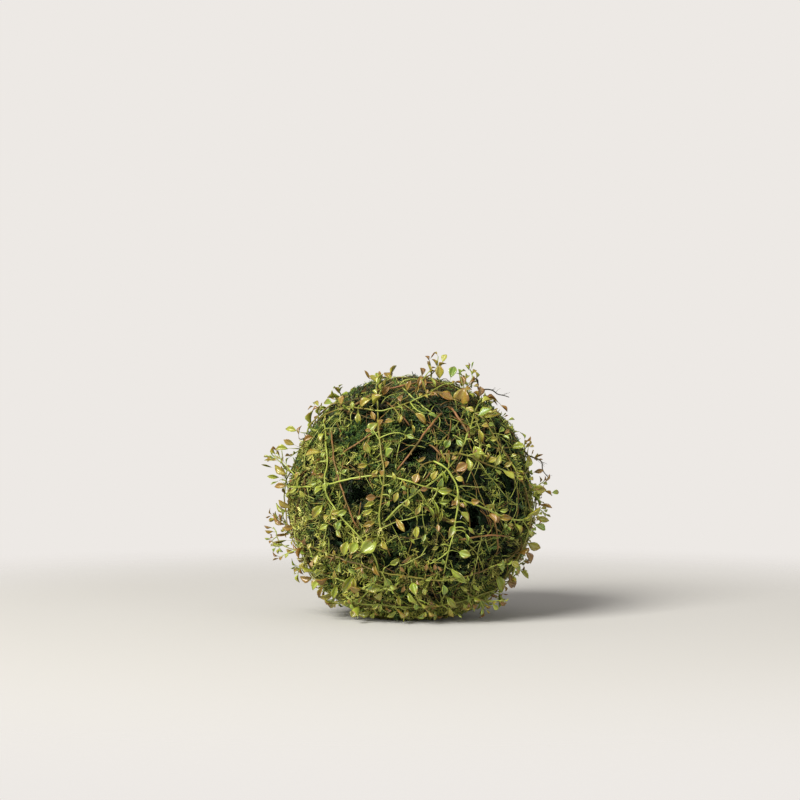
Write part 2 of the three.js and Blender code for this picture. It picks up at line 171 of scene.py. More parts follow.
# %% Lights
# A soft key from the upper left, in front, and a weak fill from the right. Both stand far off, so that
# they light the table evenly.
def add_area_light(name, place, size, power, colour):
    """A square area light, in metres and watts, that aims at the middle of the ball."""
    data = bpy.data.lights.new(name, "AREA")
    data.size = size
    data.energy = power
    data.color = linear(colour)[:3]
    light = bpy.data.objects.new(name, data)
    light.location = place
    aim = Vector((0, 0, CENTRE_HEIGHT * MM)) - Vector(place)
    light.rotation_euler = aim.to_track_quat("-Z", "Y").to_euler()
    scene.collection.objects.link(light)
    print(name, "light of", power, "W")


add_area_light("key", place=(-2.5, -3.2, 3.1), size=2.4, power=392, colour="#FFFDF8")
add_area_light("fill", place=(3.2, -3.2, 0.8), size=2.5, power=42, colour="#F6F8FF")

# %% [markdown]
# ## Places on the ball
# A place is a longitude and a latitude in degrees, 0, 0 facing the camera. The moss isn't quite round:
# it has soft lumps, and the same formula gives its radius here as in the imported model. Seeded numbers
# keep every leaf where it was on each run.

# %% Places and the moss's radius
def place_on_ball(longitude, latitude):
    """Unit vectors outwards, towards the east and towards the north."""
    lon, lat = math.radians(longitude), math.radians(latitude)
    out = np.array([math.cos(lat) * math.sin(lon), -math.cos(lat) * math.cos(lon), math.sin(lat)])
    east = np.array([math.cos(lon), math.sin(lon), 0.0])
    return out, east, np.cross(out, east)


def moss_radius(d):
    """The outside of the moss in the direction of unit vectors."""
    x, y, z = d[..., 0], d[..., 1], d[..., 2]
    lumps = np.sin(3.1 * x + 1.7 * z + 0.6) * np.cos(2.3 * y - 1.9 * z + 0.4)
    lumps = lumps + 0.5 * np.sin(5.3 * z - 2.9 * x + 1.1) * np.sin(4.7 * y + 2.2 * x)
    fade = np.clip((z + 0.97) / 0.35, 0, 1)
    return MOSS_RADIUS + LUMP_HEIGHT * lumps * fade


def seeded_numbers(seed):
    """Repeatable numbers from 0 to 1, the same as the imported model's."""
    state = seed
    while True:
        state = state * 16807 % 2147483647
        yield state / 2147483647


def unit(vectors):
    return vectors / np.linalg.norm(vectors, axis=-1, keepdims=True)


# %% [markdown]
# ## Where everything lies
# The middles of the moss pads, the gaps in the moss, and the routes of the strands. They are the packed
# model's, but for two gaps that the moss has partly grown over here. A route is a short list of given
# places, because that is how a vine is wound.

# %% Pads and gaps
# Longitude and latitude of each pad's middle, in degrees.
PADS = {
    "moss_base_pad": (0, -90),
    "moss_lower_pad_1": (-8, -28),
    "moss_lower_pad_2": (60, -38),
    "moss_lower_pad_3": (126, -30),
    "moss_lower_pad_4": (194, -34),
    "moss_lower_pad_5": (276, -32),
    "moss_upper_pad_1": (2, 30),
    "moss_upper_pad_2": (66, 20),
    "moss_upper_pad_3": (138, 30),
    "moss_upper_pad_4": (212, 26),
    "moss_upper_pad_5": (296, 14),
    "moss_crown_pad": (180, 82),
}
# Longitude and latitude in degrees, then half the width and half the height in mm.
HOLES = [
    (-26, 5, 8, 7.5),
    (2, 25, 11, 6.5),
    (-21, 48, 6, 5),
    (30, -7, 10, 9),
    (52, 8, 7, 10),
    (-5, -10, 9, 7),
    (-10, -27, 6, 5),
    (26, -26, 8, 5),
    (-38, -18, 6, 8),
    (-68, 22, 3, 4),
    (96, 34, 9, 7),
    (118, 4, 10, 8),
    (152, -12, 3, 4),
    (168, 34, 9, 8),
    (186, -4, 8, 9),
    (212, -14, 7, 6),
    (226, 46, 8, 6),
    (246, 8, 9, 9),
    (262, -12, 6, 8),
    (-70, -32, 7, 6),
]
print(len(PADS), "pads and", len(HOLES), "gaps")

# %% Routes of the bark twigs
BARK_TWIGS = {
    "bark_twig_slant": [(21, 46), (10, 37), (2, 27), (-7, 15)],
    "bark_twig_brow": [(-20, 54), (-12, 48), (-1, 39)],
    "bark_twig_middle": [(9, 29), (17, 19), (25, 9)],
    "bark_twig_temple": [(27, 50), (29, 41), (33, 29)],
    "bark_twig_left": [(-51, 37), (-40, 21), (-33, 8), (-27, -5), (-24, -12)],
    "bark_twig_cheek": [(-38, 22), (-27, 29), (-17, 38)],
    "bark_twig_hollow": [(36, 0), (41, -12), (46, -24)],
    "bark_twig_low": [(22, -16), (36, -13), (52, -15)],
    "bark_twig_rim": [(-47, 44), (-38, 56), (-14, 66), (22, 69), (52, 62)],
    "bark_twig_right_back": [(100, 30), (120, 14), (136, -4)],
    "bark_twig_nape": [(150, 46), (163, 26), (170, 5)],
    "bark_twig_back": [(184, -22), (206, -8), (230, 3)],
    "bark_twig_left_back": [(236, 50), (242, 32), (254, 12)],
    "bark_twig_low_back": [(262, -28), (275, -10), (281, 9)],
}

# %% Routes of the vines
VINES = {
    "vine_band": [
        (-96, 8), (-78, 6), (-61, 7), (-41, 8), (-25, 12), (-10, 13), (3, 9), (14, 6), (26, 1),
        (42, -5), (60, -8), (82, -5), (105, 3), (130, 10), (156, 11), (182, 7), (206, 2),
    ],
    "vine_left": [
        (-112, 58), (-84, 51), (-67, 41), (-53, 33), (-43, 17), (-38, 1), (-32, -6), (-22, -17),
        (-17, -27), (-22, -39), (-38, -49), (-64, -54), (-96, -54), (-126, -48), (-150, -36),
    ],
    "vine_olive": [
        (-14, -12), (-14, -1), (-12, 11), (-16, 28), (-21, 43), (-28, 55), (-48, 69), (-112, 77),
        (-160, 66), (-176, 50), (-186, 32), (-196, 15),
    ],
    "vine_front": [
        (-12, -7), (-4, 1), (3, 6), (12, 12), (23, 22), (31, 33), (40, 42), (58, 51), (84, 55),
        (110, 51), (132, 39), (149, 23),
    ],
    "vine_shoot": [(10, 20), (16, 15), (20, 8), (20, -2), (19, -12), (17, -22), (17, -34)],
    "vine_keel": [
        (-136, -7), (-114, -13), (-92, -17), (-73, -18), (-55, -21), (-36, -26), (-21, -30),
        (-8, -33), (10, -35), (30, -33), (48, -28), (62, -23), (75, -14), (86, -2), (94, 14),
        (104, 30), (118, 43), (142, 54),
    ],
    "vine_limb": [
        (43, 45), (49, 31), (57, 16), (66, 4), (70, -7), (67, -17), (63, -27), (68, -40),
        (84, -50), (108, -52), (130, -45), (147, -31), (160, -16),
    ],
    "vine_chin": [
        (-5, -37), (-14, -42), (-28, -42), (-44, -38), (-60, -35), (-80, -36), (-102, -36),
        (-124, -29), (-142, -16), (-154, 1),
    ],
    "vine_hem": [
        (-54, -46), (-40, -51), (-26, -53), (-9, -55), (10, -55), (32, -52), (54, -46), (77, -38),
        (99, -30), (119, -18), (134, -3), (146, 13),
    ],
    "vine_brow": [
        (-124, 26), (-102, 33), (-82, 38), (-66, 41), (-51, 46), (-35, 47), (-20, 45), (-4, 50),
        (16, 59), (50, 66), (96, 66),
    ],
    "vine_shoulder": [(14, 23), (28, 21), (41, 17), (56, 13), (76, 14), (95, 21), (114, 24), (136, 22)],
    "vine_nape": [(200, -34), (190, -14), (186, 6), (191, 26), (205, 42), (232, 53), (262, 55)],
    "vine_back": [(218, 55), (223, 36), (232, 18), (243, 0), (252, -17), (264, -33), (288, -45)],
    "vine_cheek": [(-64, 54), (-75, 38), (-81, 20), (-84, 2), (-81, -15), (-75, -30), (-66, -43)],
}

# %% Routes of the sprigs and rootlets
# The third number is the height above the moss in mm.
SPRIGS = {
    "sprig_left": [(-70, 11, 0), (-78, 13, 3), (-84, 16, 8), (-87, 21, 14)],
    "sprig_low_left": [(-64, -27, 0), (-72, -24, 2), (-80, -18, 7), (-86, -11, 12)],
    "sprig_bottom": [(2, -47, 0), (6, -50, 3), (11, -52, 8), (17, -52, 13)],
    "sprig_low_right": [(36, -45, 0), (43, -46, 3), (50, -46, 7), (56, -44, 12)],
    "sprig_right": [(75, 4, 0), (80, 6, 3), (85, 5, 7), (88, 1, 12)],
    "sprig_top": [(12, 74, 0), (40, 77, 3), (64, 78, 8), (82, 77, 13)],
    "sprig_top_right": [(36, 55, 0), (48, 58, 3), (62, 60, 7), (76, 60, 12)],
    "sprig_back": [(170, 20, 0), (176, 24, 3), (182, 30, 7), (186, 37, 12)],
    "sprig_back_left": [(236, -22, 0), (242, -18, 3), (248, -12, 8), (251, -5, 13)],
    "sprig_back_right": [(140, -26, 0), (133, -24, 3), (127, -20, 8), (122, -14, 13)],
}
ROOTLETS = {
    "rootlet_upper": [(66, 61, 0), (76, 58, 4), (84, 53, 9), (88, 46, 16)],
    "rootlet_lower": [(80, 26, 0), (84, 21, 3), (87, 15, 9), (89, 8, 16)],
}

# %% [markdown]
# ## Laying the strands
# A strand rests on the moss, and where it meets one that was laid before it, it climbs over it. So each
# new strand is tested against all the earlier ones, and its height rises near a crossing. A smooth
# curve through the listed places gives its direction.

# %% A smooth curve through places
CURVE_SAMPLES = 1001
FEWEST_SECTIONS = 3


def spaced_points(places, spacing, step):
    """Evenly spaced points on a centripetal Catmull-Rom curve, and its number of sections."""
    ends = np.vstack([2 * places[0] - places[1], places, 2 * places[-1] - places[-2]])
    spans = len(places) - 1

    def at(t):
        span = np.minimum((t * spans).astype(int), spans - 1)
        w = (t * spans - span)[:, None]
        p0, p1, p2, p3 = (ends[span + k] for k in range(4))
        d0, d1, d2 = (
            np.sqrt(np.linalg.norm(b - a, axis=1))[:, None] for a, b in ((p0, p1), (p1, p2), (p2, p3))
        )
        m1 = d1 * ((p1 - p0) / d0 - (p2 - p0) / (d0 + d1) + (p2 - p1) / d1)
        m2 = d1 * ((p2 - p1) / d1 - (p3 - p1) / (d1 + d2) + (p3 - p2) / d2)
        return p1 + m1 * w + (3 * (p2 - p1) - 2 * m1 - m2) * w**2 + (2 * (p1 - p2) + m1 + m2) * w**3

    t = np.linspace(0, 1, CURVE_SAMPLES)
    dense = at(t)
    length = np.concatenate([[0], np.cumsum(np.linalg.norm(np.diff(dense, axis=0), axis=1))])
    sections = max(FEWEST_SECTIONS, round(length[-1] / (spacing * step)))
    even = np.linspace(0, length[-1], sections * step + 1)
    return at(np.interp(even, length, t)), sections


# %% Lay a strand
CROSSING_GAP = 0.52  # mm between two strands where they cross
strands = []


def lay_strand(name, route, radius, step, gap):
    """Lays a strand over the moss and the earlier strands. A station is a step of fine points."""
    heights = [place[2] if len(place) > 2 else 0 for place in route]
    places = np.array([place_on_ball(*p[:2])[0] * (MOSS_RADIUS + h) for p, h in zip(route, heights)])
    fine, sections = spaced_points(places, FINE_STEP, step)
    outwards = unit(fine)
    needed = moss_radius(outwards) + radius + gap
    for other in strands:
        reach = radius + other["radius"] + CROSSING_GAP
        apart = np.linalg.norm(outwards[:, None] - other["out"][None], axis=2) * MOSS_RADIUS
        rise = np.sqrt(np.clip(reach**2 - apart**2, 0, None))
        over = np.where(apart < reach, np.linalg.norm(other["points"], axis=1)[None] + rise, 0)
        needed = np.maximum(needed, over.max(axis=1))
    station_heights = []
    for s in range(sections + 1):
        lift = max(0.0, np.linalg.norm(fine[s * step]) - MOSS_RADIUS)
        window = needed[max(0, (s - 1) * step + 1) : (s + 1) * step]
        station_heights.append(window.max() + lift)
    stations = outwards[::step] * np.array(station_heights)[:, None]
    share = np.arange(len(fine)) / step
    numbered = np.arange(sections + 1)
    points = np.stack([np.interp(share, numbered, stations[:, k]) for k in range(3)], axis=1)
    strand = {
        "name": name,
        "radius": radius,
        "points": points,
        "out": unit(points),
        "stations": stations,
        "step": step,
    }
    strands.append(strand)
    return strand


# %% Lay them all, lowest first
LONG_STATION, SHORT_STATION = 6, 3  # fine steps from one station to the next
TWIG_RADIUS, VINE_RADIUS, SPRIG_RADIUS, ROOTLET_RADIUS = 1.1, 0.95, 0.8, 0.6
LAID_GAP, ROOTED_GAP = 0.5, 0.0  # mm between the moss and a strand
bark_twigs = [lay_strand(n, r, TWIG_RADIUS, LONG_STATION, LAID_GAP) for n, r in BARK_TWIGS.items()]
vines = [lay_strand(n, r, VINE_RADIUS, LONG_STATION, LAID_GAP) for n, r in VINES.items()]
sprigs = [lay_strand(n, r, SPRIG_RADIUS, SHORT_STATION, ROOTED_GAP) for n, r in SPRIGS.items()]
rootlets = [lay_strand(n, r, ROOTLET_RADIUS, SHORT_STATION, ROOTED_GAP) for n, r in ROOTLETS.items()]
first_vine = len(bark_twigs)
first_sprig = first_vine + len(vines)
first_rootlet = first_sprig + len(sprigs)
print(len(strands), "strands, of which", len(vines), "are vines")
for strand in (vines[0], sprigs[0]):
    low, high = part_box(strand["name"])
    print(strand["name"], "CAD box", low[:], high[:])

# %% [markdown]
# ## Growing the leaves
# Leaves alternate along a stem and lean outwards. One that would foul a strand, another leaf, the moss
# or the table isn't grown: balls strung along each leaf make that test cheap.

# %% Does a leaf fit?
LEAF_GAP = 0.4  # mm between a leaf and its neighbours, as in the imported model
LEAF_THICKNESS = 0.9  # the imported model's
# Balls strung along a leaf: each one's place as a share of the reach, and radius as a share of the width.
LEAF_PROBES = np.array([(0.2, 0.14), (0.42, 0.3), (0.66, 0.52), (0.84, 0.42), (1.0, 0.1)])
TABLE_CLEARANCE = 1.5  # mm
strand_points = np.vstack([s["points"] for s in strands])
strand_radii = np.concatenate([np.full(len(s["points"]), s["radius"]) for s in strands])
strand_owner = np.concatenate([np.full(len(s["points"]), i) for i, s in enumerate(strands)])
MOST_LEAVES = 6000
LEAF_NEIGHBOURS = 40.0  # leaves whose bases are further apart than this can't touch
leaves = []
leaf_bases = np.zeros((MOST_LEAVES, 3))
leaf_centres = np.zeros((MOST_LEAVES, len(LEAF_PROBES), 3))
leaf_radii = np.zeros((MOST_LEAVES, len(LEAF_PROBES)))


def leaf_fits(leaf, gap):
    """Strings balls along the leaf, and tells if they clear the table, moss, strands and leaves."""
    centres = leaf["base"] + LEAF_PROBES[:, :1] * leaf["reach"] * leaf["along"]
    radii = LEAF_PROBES[:, 1] * leaf["width"] + gap
    leaf["centres"], leaf["radii"] = centres, radii
    if (centres[:, 2] - radii).min() < -CENTRE_HEIGHT + TABLE_CLEARANCE:
        return False
    above = np.linalg.norm(centres, axis=1) - moss_radius(unit(centres))
    if above.min() < LEAF_THICKNESS / 2 + gap:
        return False
    others = strand_owner != leaf["owner"]
    apart = np.linalg.norm(centres[:, None] - strand_points[None, others], axis=2)
    if (apart < radii[:, None] + strand_radii[None, others] + gap).any():
        return False
    count = len(leaves)
    near = np.linalg.norm(leaf_bases[:count] - leaf["base"], axis=1) <= LEAF_NEIGHBOURS
    apart = np.linalg.norm(centres[None, :, None] - leaf_centres[:count][near][:, None], axis=3)
    return not (apart < radii[None, :, None] + leaf_radii[:count][near][:, None]).any()


def keep_leaf(leaf):
    """Adds the leaf, and its balls for testing the later ones against."""
    count = len(leaves)
    leaf_bases[count] = leaf["base"]
    leaf_centres[count] = leaf["centres"]
    leaf_radii[count] = leaf["radii"]
    leaves.append(leaf)


# %% [markdown]
# The leaves that catch the eye are set one by one. Each row holds a leaf's place to the right of the ball's
# middle and above it, in mm as seen from the front, the blade's length in mm and its width as a share
# of that, the direction in which its tip points, anticlockwise from the right in degrees, and how old
# it looks, from 0, fresh, to 1, brown. Each grows on a stalk from the nearest vine or sprig.

# %% Leaves set one by one
# x, z, blade, width share, tip direction, age.
HAND_SET = {
    "crown": [
        (28, 84, 11, 0.75, 172, 0.85), (39.5, 83, 15, 0.85, 75, 0.72), (22.5, 101.5, 9.5, 0.72, 92, 0.6),
        (15.5, 103.5, 10.5, 0.2, 105, 0.55), (39.5, 94, 8.5, 0.34, 100, 0.45),
        (43.5, 93, 5, 0.3, 105, 0.55), (47.5, 95, 6, 0.28, 100, 0.7), (51.5, 90, 4, 0.8, 345, 0.5),
        (-35, 99.5, 7.5, 0.3, 127, 0.75), (-30, 96.5, 7.5, 0.6, 155, 0.5), (-24.7, 100.5, 4, 0.6, 100, 0.7),
        (-20, 87, 8, 0.6, 235, 0.85), (7, 94, 8, 0.55, 72, 0.85), (-2, 90.5, 8, 0.48, 60, 0.8),
        (4.5, 87, 8, 0.3, 255, 0.7), (18, 93, 8.5, 0.27, 107, 0.25), (10.5, 91.5, 8, 0.4, 80, 0.75),
        (17, 83.5, 6.5, 0.6, 200, 0.9), (46.3, 74.8, 6.5, 0.68, 322, 0.62),
    ],
    "above the middle": [
        (-36, 77.5, 9.5, 0.68, 222, 0.55), (-46, 75.5, 4.5, 0.8, 100, 0.2), (-40.5, 65, 8.5, 0.55, 277, 0.35),
        (-29.5, 67, 7, 0.55, 290, 0.7), (-30, 58.5, 8.5, 0.8, 45, 0.2), (-32.8, 43, 8.5, 0.72, 110, 0.35),
        (-17.5, 45, 7.5, 0.35, 40, 0.2), (7, 65.5, 10.5, 0.47, 313, 0.7), (16, 68, 6.5, 0.5, 340, 0.05),
        (-8.5, 65, 6, 0.65, 260, 0.42), (-1, 51.5, 6.5, 0.57, 333, 0.05), (27.5, 47, 7, 0.78, 60, 0),
        (36, 46, 7, 0.62, 300, 0), (7.5, 36, 7, 0.4, 30, 0.6), (-17, 62.5, 6, 0.6, 200, 0.7),
        (24, 36, 7, 0.3, 280, 0.3), (1.5, 57.5, 6, 0.36, 280, 0.6),
    ],
    "left": [
        (-95, 56, 8, 0.6, 165, 0.4), (-89, 55.5, 6, 0.55, 80, 0.85), (-96, 46, 8.5, 0.56, 155, 0.65),
        (-102, 40.8, 9, 0.6, 187, 0.36), (-80.5, 49, 7, 0.65, 17, 0.85), (-112, 32, 7.5, 0.25, 172, 0.48),
        (-110, 34, 6, 0.2, 152, 0.3), (-114, 27, 8, 0.2, 168, 0.45), (-103.7, 23.4, 10.5, 0.6, 145, 0.6),
        (-97, 25.5, 5.5, 0.6, 205, 0.72), (-109.5, 18.5, 8.5, 0.43, 175, 0.35),
        (-109, 13.3, 5.5, 0.28, 220, 0.2), (-103.4, 11.2, 8.5, 0.58, 184, 0.72),
        (-101, 7.5, 5.5, 0.4, 290, 0.5), (-97, 3.8, 8, 0.3, 283, 0.38), (-99, -2.4, 11, 0.5, 138, 0.6),
        (-103.8, -7.8, 9.5, 0.5, 153, 0.3), (-105.6, -17.6, 10.5, 0.32, 157, 0.85),
        (-97.2, -21.5, 8, 0.6, 178, 0.74), (-92, 21.2, 7.5, 0.6, 215, 0.62), (-87, 15.2, 9, 0.25, 52, 0.2),
        (-70, 21, 6, 0.64, 217, 0.85), (-75.8, 15.2, 6.5, 0.6, 195, 0.2), (-65.2, 13.4, 7.2, 0.6, 50, 0.15),
        (-72, -6, 11.2, 0.58, 235, 0.35), (-57.8, -6, 6.5, 0.7, 200, 0.5), (-52.8, -6, 7, 0.65, 27, 0.22),
        (-67, -17.4, 7.2, 0.6, 210, 0.28), (-55, -22, 6.2, 0.63, 314, 0.17), (-68, 37, 4.5, 0.6, 60, 0.2),
        (-73, 31, 6, 0.4, 200, 0.4), (-84, 6.5, 6, 0.5, 120, 0.45), (-92.5, 8, 6, 0.55, 30, 0.35),
        (-82, -16, 7, 0.25, 250, 0.6), (-73.5, 22.5, 6, 0.3, 280, 0.35),
    ],
    "lower left": [
        (-102.4, -27.5, 10, 0.23, 179, 0.75), (-104.4, -31.8, 9, 0.24, 170, 0.47),
        (-106, -35, 9, 0.2, 170, 0.33), (-102.4, -39, 4.5, 0.5, 320, 0.15), (-95.4, -40, 6.5, 0.54, 149, 0.6),
        (-91, -38, 7.5, 0.4, 145, 0.85), (-87.5, -46, 4.8, 0.6, 185, 0.5), (-83, -61, 8.6, 0.7, 176, 0.78),
        (-71, -53.5, 12, 0.31, 222, 0.23), (-72.5, -72.8, 9.5, 0.36, 248, 0.75),
        (-67, -75.6, 11.8, 0.46, 199, 0.48), (-59.6, -70.4, 9.8, 0.54, 258, 0.28),
        (-71.5, -64.4, 4.6, 0.67, 235, 0.33), (-53.7, -79, 3.6, 0.85, 200, 0.5),
        (-45, -88, 7, 0.95, 243, 0.53), (-37, -87.4, 11, 0.42, 193, 0.37),
        (-50.5, -33.6, 10.5, 0.61, 255, 0.32), (-45.4, -50.8, 6, 0.56, 165, 0.15),
        (-48.7, -62.4, 14, 0.52, 240, 0.3), (-43.8, -62.6, 9.5, 0.44, 277, 0.57),
        (-41.4, -76, 7.5, 0.5, 228, 0.15), (-32.5, -30.6, 14.5, 0.73, 40, 0.25),
        (-35.5, -54.8, 5.5, 0.6, 310, 0.1), (-40.2, -38, 4, 0.7, 180, 0.4), (-79, -33.5, 5, 0.6, 250, 0.5),
        (-67, -31, 4.5, 0.6, 250, 0.4), (-65, -39, 4, 0.5, 300, 0.4), (-59, -37.5, 4, 0.6, 100, 0.35),
    ],
    "below": [
        (-21, -32, 8, 0.6, 304, 0.57), (-13, -43, 8, 0.6, 37, 0.25), (-26.3, -49.7, 10.4, 0.4, 298, 0.7),
        (-29, -65, 8.6, 0.62, 202, 0.33), (-15.4, -65, 6.5, 0.45, 15, 0.4), (-9, -74.5, 8, 0.45, 284, 0.32),
        (-6.5, -66.5, 5, 0.6, 250, 0.8), (0.2, -72.5, 10, 0.43, 309, 0.3), (-7.3, -48.8, 5.2, 0.5, 127, 0.85),
        (-4, -41, 9, 0.28, 205, 0.8), (10.7, -47.3, 5, 0.6, 88, 0.83), (21.2, -48.5, 4.5, 0.5, 317, 0.85),
        (40, -37.2, 8.8, 0.74, 348, 0.15), (36.6, -55, 12.7, 0.45, 318, 0.2),
        (30.8, -76.6, 10.7, 0.5, 310, 0.2), (41.5, -67.7, 7.5, 0.4, 340, 0.4), (8, -88, 7.5, 0.54, 208, 0.2),
        (-4, -86, 5.7, 0.63, 75, 0.5), (-15.2, -86, 8, 0.47, 198, 0.23), (-28.2, -80, 6.5, 0.53, 215, 0.23),
        (-24, -81.6, 5.5, 0.5, 260, 0.2), (9.6, -67, 5, 0.7, 290, 0.3), (13, -56, 6.5, 0.35, 200, 0.35),
        (18, -87.5, 7, 0.38, 265, 0.22), (21.6, -88.5, 5, 0.4, 10, 0.85), (17.5, -32, 5, 0.6, 200, 0.35),
        (0, -28.6, 5, 0.4, 310, 0.3), (3, -44.5, 6, 0.3, 290, 0.75), (45.5, -53, 4.5, 0.35, 80, 0.35),
    ],
    "lower right": [
        (69.2, -62.9, 14, 0.46, 292, 0.2), (79.6, -65.4, 8, 0.66, 300, 0.8), (74.8, -69.8, 4, 0.6, 280, 0.7),
        (64.6, -73.8, 3.8, 0.7, 355, 0.95), (97, -36.2, 10, 0.73, 335, 0.54),
        (91.7, -48.3, 4.2, 0.62, 343, 0.8), (90.2, -58.6, 8.3, 0.45, 316, 0.38),
        (83.5, -51.7, 7.2, 0.48, 302, 0.2), (60.3, -78.8, 6.8, 0.38, 15, 0.25),
        (62.2, -81.6, 5, 0.4, 22, 0.28), (55.8, -87.4, 5.7, 0.38, 262, 0.25),
        (53, -83, 5, 0.4, 250, 0.15), (49.6, -64.6, 7.5, 0.33, 317, 0.28), (96.5, -25.7, 3.5, 0.5, 320, 0.85),
        (58.5, -76, 4.5, 0.5, 300, 0.25), (77.5, -27, 3.5, 0.5, 0, 0.3),
    ],
    "upper right": [
        (49.7, 39, 10, 0.75, 284, 0.33), (83.8, 42.4, 10.2, 0.63, 358, 0.3), (62.6, 68, 12, 0.5, 15, 0.58),
        (61.4, 60.4, 4.2, 0.9, 5, 0.15), (63, 48.7, 5, 0.73, 8, 0.38), (73, 72.5, 6.8, 0.37, 300, 0.9),
        (79, 63.4, 4.5, 0.4, 0, 0.2), (100.2, 34, 7.5, 0.25, 15, 0.85), (66, 33.2, 9, 0.57, 240, 0.45),
        (66, 41.5, 4.5, 0.6, 80, 0.6), (96.3, 42.5, 3.2, 0.8, 0, 0.5), (94, 45.5, 4.5, 0.4, 90, 0.6),
        (59, 43.5, 4, 0.6, 330, 0.3), (58, 36.5, 5.5, 0.45, 260, 0.6), (52.6, 51.5, 11, 0.38, 275, 0.5),
        (42.9, 30.3, 9, 0.61, 271, 0.4), (92, 30.3, 9, 0.74, 74, 0.37),
    ],
    "right": [
        (102.2, 8.7, 11.3, 0.65, 354, 0.48), (96.3, 11.5, 5.5, 0.55, 140, 0.25),
        (101, 22.6, 7, 0.53, 13, 0.8), (107.2, 18, 6.8, 0.3, 80, 0.82),
        (105.4, -5.8, 9.3, 0.32, 325, 0.8), (103.9, -15, 10.2, 0.5, 344, 0.38),
        (71.4, -10.2, 10.5, 0.47, 355, 0.67), (70.7, -4.9, 6, 0.5, 2, 0.2),
        (45.2, -19.6, 6.5, 0.4, 308, 0.15), (41.2, -25, 6.5, 0.36, 277, 0.15),
        (44.3, -26.3, 6.5, 0.25, 304, 0.15), (83, 17.5, 6, 0.3, 300, 0.75), (64.5, 7, 4.5, 0.5, 80, 0.25),
    ],
    "middle": [
        (18.7, -3, 13.5, 0.19, 284, 0.2), (15.5, -5, 9, 0.25, 298, 0.2), (22.3, -8, 9, 0.22, 265, 0.35),
        (24.5, 11, 9.7, 0.58, 358, 0.25), (24.6, 2.6, 7.5, 0.5, 10, 0.2), (3.3, 21.9, 7.8, 0.8, 250, 0.72),
        (-31, 6, 7.2, 0.78, 187, 0.9), (-32, 1, 8, 0.45, 205, 0.4), (-33, -5, 9, 0.35, 215, 0.5),
        (-39.4, -9.2, 4, 0.6, 240, 0.3), (-31.8, -13.7, 8.6, 0.5, 200, 0.6),
        (-33.7, -18.5, 5, 0.36, 240, 0.85),
        (-8.8, -14.6, 11, 0.42, 306, 0.65), (3.4, -20.2, 8.5, 0.55, 265, 0.45), (-3, 2.4, 5, 0.7, 250, 0.4),
        (-17.3, 1.6, 4.5, 0.45, 265, 0.15), (-16, 10.6, 3.5, 0.7, 270, 0.15), (-12, 7, 7, 0.6, 250, 0.5),
        (4.7, -3.7, 7.5, 0.5, 240, 0.45), (24.5, 22, 9, 0.28, 285, 0.2), (26.5, 20, 6, 0.3, 250, 0.2),
        (19.7, -17, 5.5, 0.55, 270, 0.8), (31, -11.3, 4, 0.7, 10, 0.7), (33.5, 3, 7, 0.6, 260, 0.6),
        (-28, 24, 6.5, 0.6, 230, 0.55), (-37, 29.5, 7, 0.6, 200, 0.5), (9, 12.3, 5.5, 0.7, 190, 0.9),
        (-13.5, 22, 5.5, 0.5, 110, 0.4), (9, -24, 6, 0.4, 250, 0.15),
    ],
}
print(sum(len(rows) for rows in HAND_SET.values()), "leaves in", len(HAND_SET), "regions")

# %% Set a leaf and its stalk
BLADE_FROM, BLADE_MIDDLE = 0.3, 0.65  # where the blade starts, and its middle, as shares of the reach
DROOP_ALLOWANCE = 1.1  # a drooping blade looks shorter than it is
STAND_OFF = 5.0  # mm from the moss to the blade's middle
RIM_STAND_OFF, RIM_SPREAD = 0.3, 3  # the same in mm, for a leaf seen beyond the moss's rim
TIP_OUTWARDS = 0.25  # how much a tip points away from the moss
FACES_VIEWER = 0.9  # how much a blade turns from lying flat on the ball to face the front
SET_ROLL, GROWN_ROLL = 0.4, 0.9  # the range of a blade's roll about its midrib, in radians
STRAP_BELOW = 0.33  # a blade narrower than this share of its length is a strap
NO_STALK = 2.5  # mm from its stem, up to which a leaf needs no stalk of its own
LONGEST_STALK = 18.0  # mm; a leaf further from all stems grows out of the moss
STALK_BEND = 0.4
STALK_POINTS = 6
set_places = np.array([row[:2] for rows in HAND_SET.values() for row in rows])
leafy = np.isin(strand_owner, np.arange(first_vine, first_rootlet))
viewer = np.array([0.0, -1.0, 0.0])
shoots = []
picks = seeded_numbers(4001)


